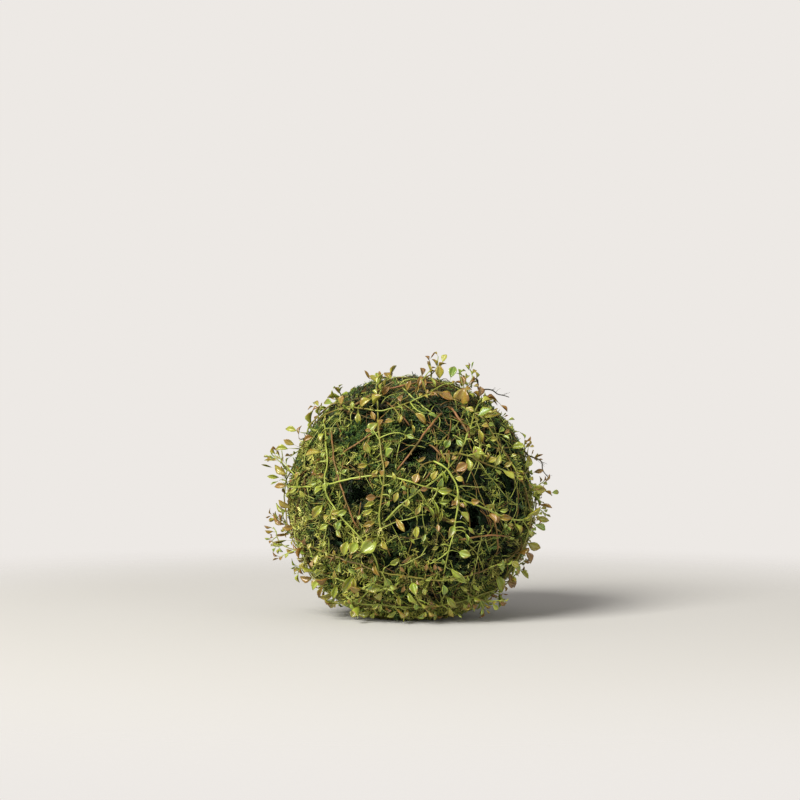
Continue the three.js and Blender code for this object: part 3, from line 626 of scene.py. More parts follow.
def set_leaf(x, z, blade, girth, tip_angle, tone):
    """Adds a leaf where it is seen from the front, and a stalk if its stem isn't close."""
    in_view = np.array([x, 0.0, z])
    across_view = math.hypot(x, z)
    forward = viewer * math.sqrt(max(0, MOSS_RADIUS**2 - across_view**2))
    on_moss = moss_radius(unit(in_view + forward))
    radius = max(on_moss + STAND_OFF, across_view + RIM_STAND_OFF + RIM_SPREAD * next(picks))
    middle = in_view + viewer * math.sqrt(radius**2 - across_view**2)
    out = unit(middle)
    angle = math.radians(tip_angle)
    along = unit(np.array([math.cos(angle), 0.0, math.sin(angle)]) + TIP_OUTWARDS * out)
    reach = DROOP_ALLOWANCE * blade / (1 - BLADE_FROM)
    base = middle - BLADE_MIDDLE * reach * along
    apart = np.where(leafy, np.linalg.norm(strand_points - base, axis=1), np.inf)
    best = int(np.argmin(apart))
    leaf = {
        "owner": int(strand_owner[best]),
        "at": int(best - np.argmax(strand_owner == strand_owner[best])),
        "kind": "strap" if girth < STRAP_BELOW else "leaf",
        "base": base,
        "along": along,
        "flat": unit(np.cross(along, unit(out + FACES_VIEWER * viewer))),
        "reach": reach,
        "width": girth * blade,
        "tone": tone,
        "pick": next(picks),
        "roll": SET_ROLL,
    }
    start = strand_points[best]
    if apart[best] > LONGEST_STALK:
        start = unit(base) * (moss_radius(unit(base)) - 1)
    if apart[best] > NO_STALK:
        share = np.linspace(0, 1, STALK_POINTS)[:, None]
        bend = base - along * STALK_BEND * np.linalg.norm(base - start)
        line = start * (1 - share) ** 2 + 2 * bend * share * (1 - share) + base * share**2
        greenness = 0.9 - 0.7 * tone  # an old leaf's stalk is brown
        shoots.append({"owner": leaf["owner"], "at": leaf["at"], "line": line, "tone": greenness})
    leaf_fits(leaf, 0)  # strings its balls; a listed leaf is kept in any case
    keep_leaf(leaf)


for region, rows in HAND_SET.items():
    for row in rows:
        set_leaf(*row)
    print(region + ":", len(rows), "leaves set by hand")

# %% [markdown]
# The other leaves grow along the stems, at the imported model's places. In front they grow in clumps only,
# and the listed leaves take the place of the rest. At the rim, one that would crowd a listed leaf is
# left out. Later, smaller young leaves are added in the clumps, and behind they grow all along the stems.

# %% Grow leaves along a strand
# Depths and heights are in mm from the ball's middle. A depth is below 0 on the viewer's side.
IN_FRONT = -30.0
LEAFIER_BEHIND = 25.0  # from here back, young leaves grow outside the clumps too
RIM_BEHIND = 40.0  # up to here, a leaf can be seen over the ball's rim
CROWDED = 6.5  # mm from a listed leaf, as seen from the front
CLUMP = 16.0  # mm across a clump of leaves, and across the bare stretch beside it
LEAFY_BELOW = -35.0  # under this height the clumps are wider
CLUMP_FROM, WIDE_CLUMP_FROM = -0.04, -0.3  # a clump is where smooth noise is above this
# The least of each, and the range above it.
SPACING, SPACING_RANGE = 0.6, 0.8  # from one leaf to the next, as a share of the pitch
LEAN, LEAN_RANGE = 14, 50  # degrees outwards
SWING, SWING_RANGE = 30, 50  # degrees from the stem, sideways
GIRTH, GIRTH_RANGE = 0.38, 0.14  # width as a share of the reach
TONE_SEED = 9001  # tones come from numbers of their own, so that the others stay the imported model's


def grow_leaves(index, pitch, shortest, longest, seed, gap=LEAF_GAP, kind="leaf"):
    """Adds the leaves that fit along one strand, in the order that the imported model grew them."""
    strand = strands[index]
    points, outs, stations = strand["points"], strand["out"], strand["stations"]
    last = len(stations) - 1
    numbers = seeded_numbers(seed)
    tones = seeded_numbers(seed + TONE_SEED)
    length = (len(points) - 1) * FINE_STEP
    side = 1
    reached = pitch * SPACING
    while reached < length + 0.5:
        i = min(round(reached / FINE_STEP), len(points) - 2)
        at_tip = length - reached < pitch / 2
        out = outs[i]
        k = round(i / (len(points) - 1) * last)
        ahead = unit(stations[min(k + 1, last)] - stations[max(k - 1, 0)])
        across = unit(np.cross(ahead, out)) * side
        lean = math.radians(LEAN + LEAN_RANGE * next(numbers))
        swing = 0 if at_tip else math.radians(SWING + SWING_RANGE * next(numbers))
        reach = shortest + (longest - shortest) * next(numbers)
        width = reach * (GIRTH + GIRTH_RANGE * next(numbers))
        along = ahead * math.cos(swing) + across * math.sin(swing)
        along = unit(along * math.cos(lean) + out * math.sin(lean))
        flat = unit(np.cross(along, out))
        leaf = {
            "owner": index,
            "at": i,
            "kind": kind,
            "base": points[i],
            "along": along,
            "flat": flat,
            "reach": reach,
            "width": width,
            "tone": next(tones),
            "pick": next(tones),
            "roll": GROWN_ROLL,
        }
        clump_from = CLUMP_FROM if points[i][2] > LEAFY_BELOW else WIDE_CLUMP_FROM
        in_clump = noise.noise(Vector(points[i]) / CLUMP) > clump_from
        in_front = points[i][1] < IN_FRONT
        middle = points[i] + BLADE_MIDDLE * reach * along
        behind = middle[1] > LEAFIER_BEHIND
        wanted = in_clump or behind or (kind == "leaf" and not in_front)
        at_rim = not in_front and middle[1] < RIM_BEHIND
        crowds = at_rim and np.min(np.hypot(*(set_places - middle[[0, 2]]).T)) < CROWDED
        if wanted and not crowds and leaf_fits(leaf, gap):
            keep_leaf(leaf)
        side = -side
        reached += pitch * (SPACING + SPACING_RANGE * next(numbers))


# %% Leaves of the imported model
for i in range(len(sprigs)):
    grow_leaves(first_sprig + i, pitch=5, shortest=8, longest=12, seed=501 + 17 * i)
for i in range(len(vines)):
    grow_leaves(first_vine + i, pitch=13, shortest=10, longest=17, seed=101 + 17 * i)
print(len(leaves), "leaves so far, with the hand-set ones")

# %% [markdown]
# ## Shapes as arrays
# The ball holds tens of thousands of fronds, far too many to duplicate one by one. So each kind of shape
# is modelled once with bmesh operators, then read into arrays, and its copies are placed by
# multiplying all their points at once. A float layer on the bmesh carries a mark for each vertex, such
# as how far out on the frond it lies, and the materials read these marks.

# %% Shape helpers
def shape_of(bm):
    """The mesh and its marks as arrays. Frees the bmesh."""
    bmesh.ops.recalc_face_normals(bm, faces=bm.faces[:])
    bm.verts.index_update()
    marks = {
        name: np.array([v[layer] for v in bm.verts]) for name, layer in bm.verts.layers.float.items()
    }
    shape = {
        "points": np.array([v.co[:] for v in bm.verts]),
        "corners": np.array([v.index for f in bm.faces for v in f.verts]),
        "sides": np.array([len(f.verts) for f in bm.faces]),
        "marks": marks,
    }
    bm.free()
    return shape


def copies(shape, turns, places, **marks):
    """One shape with a copy for each 3 x 3 turn and place. Each mark holds one value for each copy."""
    count, size = len(places), len(shape["points"])
    points = np.einsum("nij,vj->nvi", turns, shape["points"]) + places[:, None]
    corners = shape["corners"][None] + size * np.arange(count)[:, None]
    own_marks = {name: np.tile(values, count) for name, values in shape["marks"].items()}
    own_marks.update({name: np.repeat(values, size) for name, values in marks.items()})
    return {
        "points": points.reshape(-1, 3),
        "corners": corners.ravel(),
        "sides": np.tile(shape["sides"], count),
        "marks": own_marks,
    }


def joined(shapes):
    """The shapes as one, with the first one's marks. A mark that another lacks is 0 there."""
    offsets = np.cumsum([0] + [len(s["points"]) for s in shapes[:-1]])
    return {
        "points": np.concatenate([s["points"] for s in shapes]),
        "corners": np.concatenate([s["corners"] + o for s, o in zip(shapes, offsets)]),
        "sides": np.concatenate([s["sides"] for s in shapes]),
        "marks": {
            name: np.concatenate([s["marks"].get(name, np.zeros(len(s["points"]))) for s in shapes])
            for name in shapes[0]["marks"]
        },
    }


# %% Piece helper
TABLE_GAP = 0.05  # mm; nothing reaches nearer to the table than this
counts = {}


def add_piece(name, shapes, material, nodes=(), smooth=True):
    """Makes the shapes one Blender object that rides on the ball, in metres."""
    shape = joined(shapes)
    mesh = bpy.data.meshes.new(name)
    points = shape["points"].copy()
    points[:, 2] = np.maximum(points[:, 2], -CENTRE_HEIGHT + TABLE_GAP)
    mesh.vertices.add(len(points))
    mesh.vertices.foreach_set("co", ((points + BALL_CENTRE) * MM).astype(np.float32).ravel())
    mesh.loops.add(len(shape["corners"]))
    mesh.loops.foreach_set("vertex_index", shape["corners"].astype(np.int32))
    mesh.polygons.add(len(shape["sides"]))
    starts = np.concatenate([[0], np.cumsum(shape["sides"])[:-1]])
    mesh.polygons.foreach_set("loop_start", starts.astype(np.int32))
    mesh.update(calc_edges=True)
    mesh.polygons.foreach_set("use_smooth", np.full(len(starts), smooth))
    for mark, values in shape["marks"].items():
        attribute = mesh.attributes.new(mark, "FLOAT", "POINT")
        attribute.data.foreach_set("value", values.astype(np.float32))
    mesh.materials.append(material)
    piece = bpy.data.objects.new(name, mesh)
    scene.collection.objects.link(piece)
    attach(piece, "root")
    if nodes:
        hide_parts(*nodes)
    counts[name] = int((shape["sides"] - 2).sum())
    return piece


# %% [markdown]
# ## Stems by extrusion
# A stem is a ring of vertices that is extruded from each point of its route to the next, and turned
# with the route. Turning the last ring's own frame as little as possible keeps the stem from
# twisting. The radius changes on the way, so one function makes vines, twigs, rootlets and stalks.

# %% Sweep a ring along points
def frames_along(points):
    """A frame at each point, Z along the route, with as little twist as can be."""
    tangents = unit(np.gradient(points, axis=0))
    side = Vector(tangents[0]).orthogonal()
    frames = []
    for point, tangent in zip(points, tangents):
        ahead = Vector(tangent)
        side = (side - ahead * side.dot(ahead)).normalized()
        turn = Matrix((side, ahead.cross(side), ahead)).transposed().to_4x4()
        frames.append(Matrix.Translation(point) @ turn)
    return frames


def stem(points, radii, sides, loop=False, **marks):
    """A closed tube through the points. A mark holds one value for each point."""
    bm = bmesh.new()
    layers = {name: bm.verts.layers.float.new(name) for name in marks}
    frames = frames_along(points)
    start = frames[0] @ Matrix.Scale(radii[0], 4)
    ring = bmesh.ops.create_circle(bm, cap_ends=not loop, segments=sides, radius=1, matrix=start)["verts"]
    first = edges = bm.edges[:]
    for k in range(len(points)):
        if k:
            made = bmesh.ops.extrude_edge_only(bm, edges=edges)["geom"]
            ring = [g for g in made if isinstance(g, bmesh.types.BMVert)]
            edges = [g for g in made if isinstance(g, bmesh.types.BMEdge) and set(g.verts) <= set(ring)]
            grow = Matrix.Scale(radii[k] / radii[k - 1], 4)
            move = frames[k] @ grow @ frames[k - 1].inverted()
            bmesh.ops.transform(bm, matrix=move, verts=ring)
        for name, layer in layers.items():
            for v in ring:
                v[layer] = marks[name][k]
    if loop:
        bmesh.ops.bridge_loops(bm, edges=first + edges)
    else:
        bmesh.ops.edgeloop_fill(bm, edges=edges)
    return shape_of(bm)


NOISE_SEED = 1
noise.seed_set(NOISE_SEED)  # without it, the noise vectors change from run to run


def wander(points, seed, amount, wavelength):
    """The points moved a little by smooth noise, for the crooked line of something grown."""
    shift = Vector((seed, 0, 0))
    moved = []
    for point in points:
        place = Vector(point)
        moved.append(place + amount * noise.noise_vector(place / wavelength + shift))
    return np.array([p[:] for p in moved])


def uneven(count, seed, low, high, wavelength=4):
    """Smoothly changing numbers between low and high, one for each point."""
    waves = np.array([noise.noise(Vector((k / wavelength, seed, 0))) for k in range(count)])
    return low + (high - low) * np.clip(0.5 + 0.8 * waves, 0, 1)


# %% [markdown]
# ## Materials
# Each material starts from the real thing and its usual gloss. Plant matter has an IOR near 1.4 to
# 1.5 and no metal. Patterns are set in millimetres on Object coordinates, and what belongs to one
# leaf or frond comes from the marks on its mesh.

# %% Material helper
def new_material(name, roughness, ior=1.45, coat=0.0, coat_roughness=0.3, specular=0.5):
    """A material with its gloss set, its node tree and its surface node."""
    material = bpy.data.materials.new(name)
    material.use_nodes = True
    surface = material.node_tree.nodes["Principled BSDF"]
    surface.inputs["Roughness"].default_value = roughness
    surface.inputs["IOR"].default_value = ior
    surface.inputs["Coat Weight"].default_value = coat
    surface.inputs["Coat Roughness"].default_value = coat_roughness
    surface.inputs["Specular IOR Level"].default_value = specular
    return material, material.node_tree, surface


def per_metre(size_mm):
    """The scale of a noise texture whose features are this many millimetres wide."""
    return 1 / (size_mm * MM)


COLOUR_A, COLOUR_B, COLOUR_OUT = 6, 7, 2  # the sockets of a Mix node that mixes colours


# %% [markdown]
# ### Sheet moss
# Dried and dyed feather moss. Its fronds are matt and dyed unevenly, from a deep green through olive
# to straw, with brown dead patches. Towards their roots they turn near black, partly the dead lower
# stems' own colour and partly painted shade, and their tips stand out lighter as painted light. The
# mat under them is felted stems, darker still. Its inside face, which shows through the gaps, is
# paler: partly the dry underside's own colour and partly painted light.

# %% Sheet moss fronds
# Painted shade darkens a frond deep in the moss, and painted light brightens the tips that stand above it.
PAINTED_SHADE_BELOW, PAINTED_LIGHT_ABOVE = -2.9, 1.6  # mm from the outside of the moss
frond_material, tree, surface = new_material("preserved_sheet_moss", 0.62, specular=0.45)
place = add_node(tree, "ShaderNodeTexCoord").outputs["Object"]
tone = add_node(tree, "ShaderNodeAttribute", attribute_name="tone").outputs["Fac"]
rise = add_node(tree, "ShaderNodeAttribute", attribute_name="rise").outputs["Fac"]
dye = add_node(
    tree,
    "ShaderNodeTexNoise",
    {"Vector": place, "Scale": per_metre(22), "Detail": 3.0, "Roughness": 0.6},
).outputs["Fac"]
dyed = add_node(tree, "ShaderNodeMath", {0: dye, 1: 1.3, 2: -0.65}, operation="MULTIPLY_ADD").outputs[0]
lit = add_node(tree, "ShaderNodeMath", {0: tone, 1: dyed}, operation="ADD").outputs[0]
green = add_node(
    tree,
    "ShaderNodeValToRGB",
    {"Fac": lit},
    stops=[
        (0.0, "#223C1A"),
        (0.25, "#4E6A2A"),
        (0.5, "#88923A"),
        (0.75, "#B4B252"),
        (1.0, "#D8D480"),
    ],
).outputs["Color"]
dead = add_node(
    tree,
    "ShaderNodeTexNoise",
    {"Vector": place, "Scale": per_metre(9), "Detail": 2.0},
).outputs["Fac"]
dead_share = add_node(
    tree,
    "ShaderNodeMapRange",
    {"Value": dead, "From Min": 0.58, "From Max": 0.72, "To Max": 0.55},
).outputs["Result"]
mixed = add_node(
    tree,
    "ShaderNodeMix",
    {"Factor": dead_share, COLOUR_A: green, COLOUR_B: linear("#7A5530")},
    data_type="RGBA",
).outputs[COLOUR_OUT]
# Painted shade and light: the colour is scaled from near black deep in the moss to brighter than itself at
# the tips.
painted_light_and_shade = add_node(
    tree,
    "ShaderNodeMapRange",
    {"Value": rise, "From Min": PAINTED_SHADE_BELOW, "From Max": PAINTED_LIGHT_ABOVE, "To Min": 0.03, "To Max": 1.26},
).outputs["Result"]
shaded = add_node(tree, "ShaderNodeVectorMath", {0: mixed, "Scale": painted_light_and_shade}, operation="SCALE").outputs[0]
tree.links.new(shaded, surface.inputs["Base Color"])

# %% Moss mat
mat_material, tree, surface = new_material("felted_moss_mat", 0.95, specular=0.15)
place = add_node(tree, "ShaderNodeTexCoord").outputs["Object"]
felt = add_node(
    tree,
    "ShaderNodeTexNoise",
    {"Vector": place, "Scale": per_metre(2.2), "Detail": 5.0, "Roughness": 0.7},
).outputs["Fac"]
colour = add_node(
    tree,
    "ShaderNodeValToRGB",
    {"Fac": felt},
    stops=[(0.3, "#0E1A0E"), (0.5, "#1A2C18"), (0.66, "#283C1E"), (0.8, "#34361E")],
).outputs["Color"]
# The inside face is paler: partly the dry underside's own colour and partly painted light that brightens the
# gaps.
under = add_node(tree, "ShaderNodeAttribute", attribute_name="under").outputs["Fac"]
dry_underside_and_painted_light = add_node(
    tree,
    "ShaderNodeMix",
    {"Factor": under, COLOUR_A: colour, COLOUR_B: linear("#7A9A72")},
    data_type="RGBA",
).outputs[COLOUR_OUT]
bump = add_node(
    tree,
    "ShaderNodeBump",
    {"Height": felt, "Strength": 0.9, "Distance": 1.5 * MM},
).outputs["Normal"]
tree.links.new(dry_underside_and_painted_light, surface.inputs["Base Color"])
tree.links.new(bump, surface.inputs["Normal"])

# %% [markdown]
# ### Twigs, stems and rootlets
# The bark twigs are young wood with orange-brown bark, and the hoops are peeled willow that has
# dulled. The vine's stems are green where they are young and brown where they are old, so one ramp
# runs from brown to yellow-green. Rootlets are thin, dark and dry. All are satin at most.

# %% Stalk materials
def stalk_material(name, stops, roughness, patch_mm, grain_mm, specular=0.4):
    """Bark or skin whose colour follows its tone mark, patches and a fine grain."""
    material, tree, surface = new_material(name, roughness, specular=specular)
    place = add_node(tree, "ShaderNodeTexCoord").outputs["Object"]
    tone = add_node(tree, "ShaderNodeAttribute", attribute_name="tone").outputs["Fac"]
    patch = add_node(
        tree,
        "ShaderNodeTexNoise",
        {"Vector": place, "Scale": per_metre(patch_mm), "Detail": 3.0},
    ).outputs["Fac"]
    grain = add_node(
        tree,
        "ShaderNodeTexNoise",
        {"Vector": place, "Scale": per_metre(grain_mm), "Detail": 3.0, "Roughness": 0.7},
    ).outputs["Fac"]
    worn = add_node(tree, "ShaderNodeMath", {0: patch, 1: 0.9, 2: tone}, operation="MULTIPLY_ADD").outputs[0]
    even = add_node(tree, "ShaderNodeMath", {0: grain, 1: 0.35, 2: worn}, operation="MULTIPLY_ADD").outputs[0]
    centred = add_node(tree, "ShaderNodeMath", {0: even, 1: 0.62}, operation="SUBTRACT").outputs[0]
    colour = add_node(tree, "ShaderNodeValToRGB", {"Fac": centred}, stops=stops).outputs["Color"]
    bump = add_node(
        tree,
        "ShaderNodeBump",
        {"Height": grain, "Strength": 0.5, "Distance": 0.3 * MM},
    ).outputs["Normal"]
    tree.links.new(colour, surface.inputs["Base Color"])
    tree.links.new(bump, surface.inputs["Normal"])
    return material


bark_material = stalk_material(
    "orange_bark_twig",
    [(0.0, "#4A401C"), (0.25, "#6C5C2C"), (0.5, "#865E34"), (0.75, "#A0704A"), (1.0, "#C09C7C")],
    roughness=0.5,
    patch_mm=4,
    grain_mm=0.9,
)
hoop_material = stalk_material(
    "dull_willow_hoop",
    [(0.0, "#2E2414"), (0.5, "#5A4828"), (1.0, "#8A7448")],
    roughness=0.75,
    patch_mm=12,
    grain_mm=1.2,
)
vine_material = stalk_material(
    "green_vine_stem",
    [(0.0, "#5C4222"), (0.3, "#7C6C2E"), (0.6, "#8E983C"), (1.0, "#B0BC54")],
    roughness=0.42,
    patch_mm=14,
    grain_mm=1.5,
    specular=0.5,
)
thread_material = stalk_material(
    "dry_moss_thread",
    [
        (0.0, "#2A2812"),
        (0.2, "#4E4420"),
        (0.35, "#805A2E"),
        (0.5, "#74702E"),
        (0.8, "#929C40"),
        (1.0, "#B8BC64"),
    ],
    roughness=0.6,
    patch_mm=10,
    grain_mm=1.2,
)
rootlet_material = stalk_material(
    "dry_rootlet",
    [(0.0, "#1E1C12"), (0.5, "#3C3820"), (1.0, "#6E6238")],
    roughness=0.8,
    patch_mm=8,
    grain_mm=1.0,
    specular=0.2,
)

# %% [markdown]
# ### Leaves
# The leaves are small and waxy, as on a creeping fig, with a clear gloss that breaks up along the
# veins. Most are yellow-green to olive with a paler midrib, and blush bronze towards the tip. The rim
# is pale on a young leaf and rusty on an old one, and the oldest leaves are brown all over. The marks
# give how far out from the midrib and along the blade a point is.

# %% Waxy leaf
leaf_material, tree, surface = new_material("waxy_leaf_blade", 0.34, ior=1.5, coat=0.35, coat_roughness=0.18)
place = add_node(tree, "ShaderNodeTexCoord").outputs["Object"]
tone = add_node(tree, "ShaderNodeAttribute", attribute_name="tone").outputs["Fac"]
margin = add_node(tree, "ShaderNodeAttribute", attribute_name="margin").outputs["Fac"]
along = add_node(tree, "ShaderNodeAttribute", attribute_name="along").outputs["Fac"]
mottle = add_node(
    tree,
    "ShaderNodeTexNoise",
    {"Vector": place, "Scale": per_metre(3.5), "Detail": 3.0},
).outputs["Fac"]
age = add_node(tree, "ShaderNodeMath", {0: mottle, 1: 0.35, 2: tone}, operation="MULTIPLY_ADD").outputs[0]
aged = add_node(tree, "ShaderNodeMath", {0: age, 1: 0.175}, operation="SUBTRACT").outputs[0]
blade = add_node(
    tree,
    "ShaderNodeValToRGB",
    {"Fac": aged},
    stops=[
        (0.0, "#66822F"),
        (0.3, "#949E36"),
        (0.55, "#A09A38"),
        (0.74, "#987A34"),
        (0.9, "#865E2A"),
        (1.0, "#5E4220"),
    ],
).outputs["Color"]
patch = add_node(
    tree,
    "ShaderNodeTexNoise",
    {"Vector": place, "Scale": per_metre(8), "Detail": 2.0},
).outputs["Fac"]
ripe = add_node(tree, "ShaderNodeMath", {0: along, 1: 0.22, 2: patch}, operation="MULTIPLY_ADD").outputs[0]
riper = add_node(tree, "ShaderNodeMath", {0: tone, 1: 0.3, 2: ripe}, operation="MULTIPLY_ADD").outputs[0]
bronze = add_node(
    tree,
    "ShaderNodeMapRange",
    {"Value": riper, "From Min": 0.7, "From Max": 0.98, "To Max": 0.6},
    interpolation_type="SMOOTHSTEP",
).outputs["Result"]
blushed = add_node(
    tree,
    "ShaderNodeMix",
    {"Factor": bronze, COLOUR_A: blade, COLOUR_B: linear("#86641E")},
    data_type="RGBA",
).outputs[COLOUR_OUT]
rim = add_node(
    tree,
    "ShaderNodeMapRange",
    {"Value": margin, "From Min": 0.55, "From Max": 1.0, "To Max": 0.6},
    interpolation_type="SMOOTHSTEP",
).outputs["Result"]
rusty = add_node(
    tree,
    "ShaderNodeMapRange",
    {"Value": riper, "From Min": 0.68, "From Max": 0.85},
).outputs["Result"]
rim_colour = add_node(
    tree,
    "ShaderNodeMix",
    {"Factor": rusty, COLOUR_A: linear("#B2BC44"), COLOUR_B: linear("#84582A")},
    data_type="RGBA",
).outputs[COLOUR_OUT]
edged = add_node(
    tree,
    "ShaderNodeMix",
    {"Factor": rim, COLOUR_A: blushed, COLOUR_B: rim_colour},
    data_type="RGBA",
).outputs[COLOUR_OUT]
rib = add_node(
    tree,
    "ShaderNodeMapRange",
    {"Value": margin, "From Min": 0.0, "From Max": 0.22, "To Min": 0.22, "To Max": 0.0},
).outputs["Result"]
ribbed = add_node(
    tree,
    "ShaderNodeMix",
    {"Factor": rib, COLOUR_A: edged, COLOUR_B: linear("#C4C878")},
    data_type="RGBA",
).outputs[COLOUR_OUT]
VEINS = 7  # pairs of side veins, which slant towards the tip
slant = add_node(tree, "ShaderNodeMath", {0: margin, 1: -0.2, 2: along}, operation="MULTIPLY_ADD").outputs[0]
turns = add_node(tree, "ShaderNodeMath", {0: slant, 1: VEINS * math.tau}, operation="MULTIPLY").outputs[0]
veins = add_node(tree, "ShaderNodeMath", {0: turns}, operation="SINE").outputs[0]
relief = add_node(tree, "ShaderNodeMath", {0: mottle, 1: 2.0, 2: veins}, operation="MULTIPLY_ADD").outputs[0]
bump = add_node(
    tree,
    "ShaderNodeBump",
    {"Height": relief, "Strength": 0.2, "Distance": 0.12 * MM},
).outputs["Normal"]
tree.links.new(ribbed, surface.inputs["Base Color"])
tree.links.new(bump, surface.inputs["Normal"])

# %% [markdown]
# ## The moss mats
# Each pad is a lumpy felt under 4 mm thick that leaves room for the fronds outside it. It starts as a
# fine icosphere, which has no poles. Planes half-way to the neighbouring pads cut it to its share, as
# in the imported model. The faces in the gaps are deleted, and a solidify gives it its thickness.

# %% Shape of the gaps
# A gap's edge has seven corners, each a little nearer or further out than its half width.
CORNERS = 7
NEAR_CORNER, CORNER_RANGE = 0.85, 0.3
FAR_FROM_GAPS = 9.0
corner_numbers = seeded_numbers(2027)
hole_corners = [
    [NEAR_CORNER + CORNER_RANGE * next(corner_numbers) for _ in range(CORNERS)] for _ in HOLES
]


def hole_share(d):
    """How far out from the middle of the nearest gap each unit vector lies. Under 1 is inside it."""
    share = np.full(len(d), FAR_FROM_GAPS)
    for (longitude, latitude, half_width, half_height), corners in zip(HOLES, hole_corners):
        out, east, north = place_on_ball(longitude, latitude)
        x = d @ east * MOSS_RADIUS / half_width
        y = d @ north * MOSS_RADIUS / half_height
        angle = np.arctan2(y, x) % math.tau
        edge = np.interp(angle, np.linspace(0, math.tau, CORNERS + 1), corners + corners[:1])
        share = np.where(d @ out > 0, np.minimum(share, np.hypot(x, y) / edge), share)
    return share


def rough(d, size_mm, seed):
    """Noise from -1 to 1 over the ball, with features of the given width."""
    places = d * (MOSS_RADIUS / size_mm) + seed
    return np.array([noise.noise(Vector(p)) for p in places])


# %% How thickly the moss grows
BARE_SIDE = place_on_ball(46, -4)[0]
BARE_FROM, BARE_FADE = 0.45, 0.4  # how squarely a place faces the bare side
CROWN_FROM, CROWN_FADE = 0.78, 0.15  # heights as shares of the radius
BARE_LOSS, CROWN_LOSS, PATCH_LOSS = 0.42, 0.5, 0.5
PATCH_SIZE = 30  # mm
LUSHEST, BAREST = 0.95, 0.3


def lushness(d):
    """The share of the roots that grow a frond: thin at the crown and at one side, and in patches."""
    bare_side = np.clip((d @ BARE_SIDE - BARE_FROM) / BARE_FADE, 0, 1)
    crown = np.clip((d[:, 2] - CROWN_FROM) / CROWN_FADE, 0, 1)
    patches = PATCH_LOSS * rough(d, PATCH_SIZE, 19)
    return np.clip(LUSHEST - BARE_LOSS * bare_side - CROWN_LOSS * crown - patches, BAREST, 1)


# %% Mats
MAT_DEPTH = 5.5  # the mat's mean depth under the outside of the moss
MAT_THICKNESS = 3.5
SEAM = 0.4  # mm between two pads
LUMP, LUMP_SIZE = 1.8, 9  # height and width in mm
CRUMB, CRUMB_SIZE = 1.0, 3.5
GAP_SINK, THIN_SINK = 2.5, 2.0  # how much the mat sinks at a gap, and where the moss is thin
SINK_WITHIN = 1.6  # in gap widths
RAGGEDNESS, TATTER_SIZE = 0.15, 3  # of the edge of a gap
MAT_CLEARANCE = 0.3  # mm from the table
middles = {name: place_on_ball(*place)[0] for name, place in PADS.items()}
fine_sphere = bmesh.new()
bmesh.ops.create_icosphere(fine_sphere, subdivisions=7, radius=1)


def mat_radius(d):
    """The outside of the mat in the direction of unit vectors."""
    lumps = LUMP * rough(d, LUMP_SIZE, 31) + CRUMB * rough(d, CRUMB_SIZE, 57)
    sunk = GAP_SINK * np.clip(SINK_WITHIN - hole_share(d), 0, 1) + THIN_SINK * (1 - lushness(d))
    return moss_radius(d) - MAT_DEPTH + lumps - sunk


def mat(own):
    """The mat of the pad with this middle, cut off half-way to the other pads."""
    bm = fine_sphere.copy()
    others = sorted((m for m in middles.values() if m is not own), key=lambda m: -m @ own)
    for other in others:
        towards = unit(other - own)
        bmesh.ops.bisect_plane(
            bm,
            geom=bm.verts[:] + bm.edges[:] + bm.faces[:],
            plane_co=-towards * SEAM / 2 / MOSS_RADIUS,
            plane_no=towards,
            clear_outer=True,
        )
    centres = unit(np.array([f.calc_center_median()[:] for f in bm.faces]))
    ragged = hole_share(centres) + RAGGEDNESS * rough(centres, TATTER_SIZE, 11)
    gone = [f for f, share in zip(bm.faces, ragged) if share < 1]
    bmesh.ops.delete(bm, geom=gone, context="FACES")
    directions = unit(np.array([v.co[:] for v in bm.verts]))
    for v, d, r in zip(bm.verts, directions, mat_radius(directions)):
        v.co = d * r
        v.co.z = max(v.co.z, -CENTRE_HEIGHT + MAT_CLEARANCE)
    bmesh.ops.recalc_face_normals(bm, faces=bm.faces[:])
    bmesh.ops.solidify(bm, geom=bm.faces[:], thickness=MAT_THICKNESS)
    bm.normal_update()
    # Marks the inside face, which the material paints paler, partly as painted light.
    under = bm.verts.layers.float.new("under")
    for v in bm.verts:
        v[under] = float(v.normal.dot(v.co) < 0)
    return shape_of(bm)


for name, middle in middles.items():
    add_piece(name + "_mat", [mat(middle)], mat_material, nodes=[name])
fine_sphere.free()
print("mats:", sum(counts.values()), "triangles")

# %% [markdown]
# ## The fronds
# A frond of this moss is a curling stem about 9 mm long with short branches on both sides, all
# wrapped in leaves too small to tell apart, so each looks like a soft thread under 1 mm thick.
# Three-sided stems, each closed, are enough for that, and seven patterns hide the repeats. There are
# fewer branches than on a real frond, and they are thicker, so that they show.

# %% Frond pattern
FROND_LENGTH = 9.0
FROND_THREAD = 0.4  # its radius in mm
FROND_PATTERNS = 7
BRANCHES = 8
FIRST_BRANCH, NEXT_BRANCH = 0.15, 0.11  # shares of the frond's length


def curl_line(root, heading, rise, length, turn, nod, count):
    """Points along a stem that turns and nods evenly as it grows."""
    share = np.linspace(0, 1, count - 1)
    a, b = heading + turn * share, rise - nod * share
    steps = np.stack([np.cos(a) * np.cos(b), np.sin(a) * np.cos(b), np.sin(b)], axis=1)
    return root + np.vstack([np.zeros(3), np.cumsum(steps, axis=0)]) * length / (count - 1)


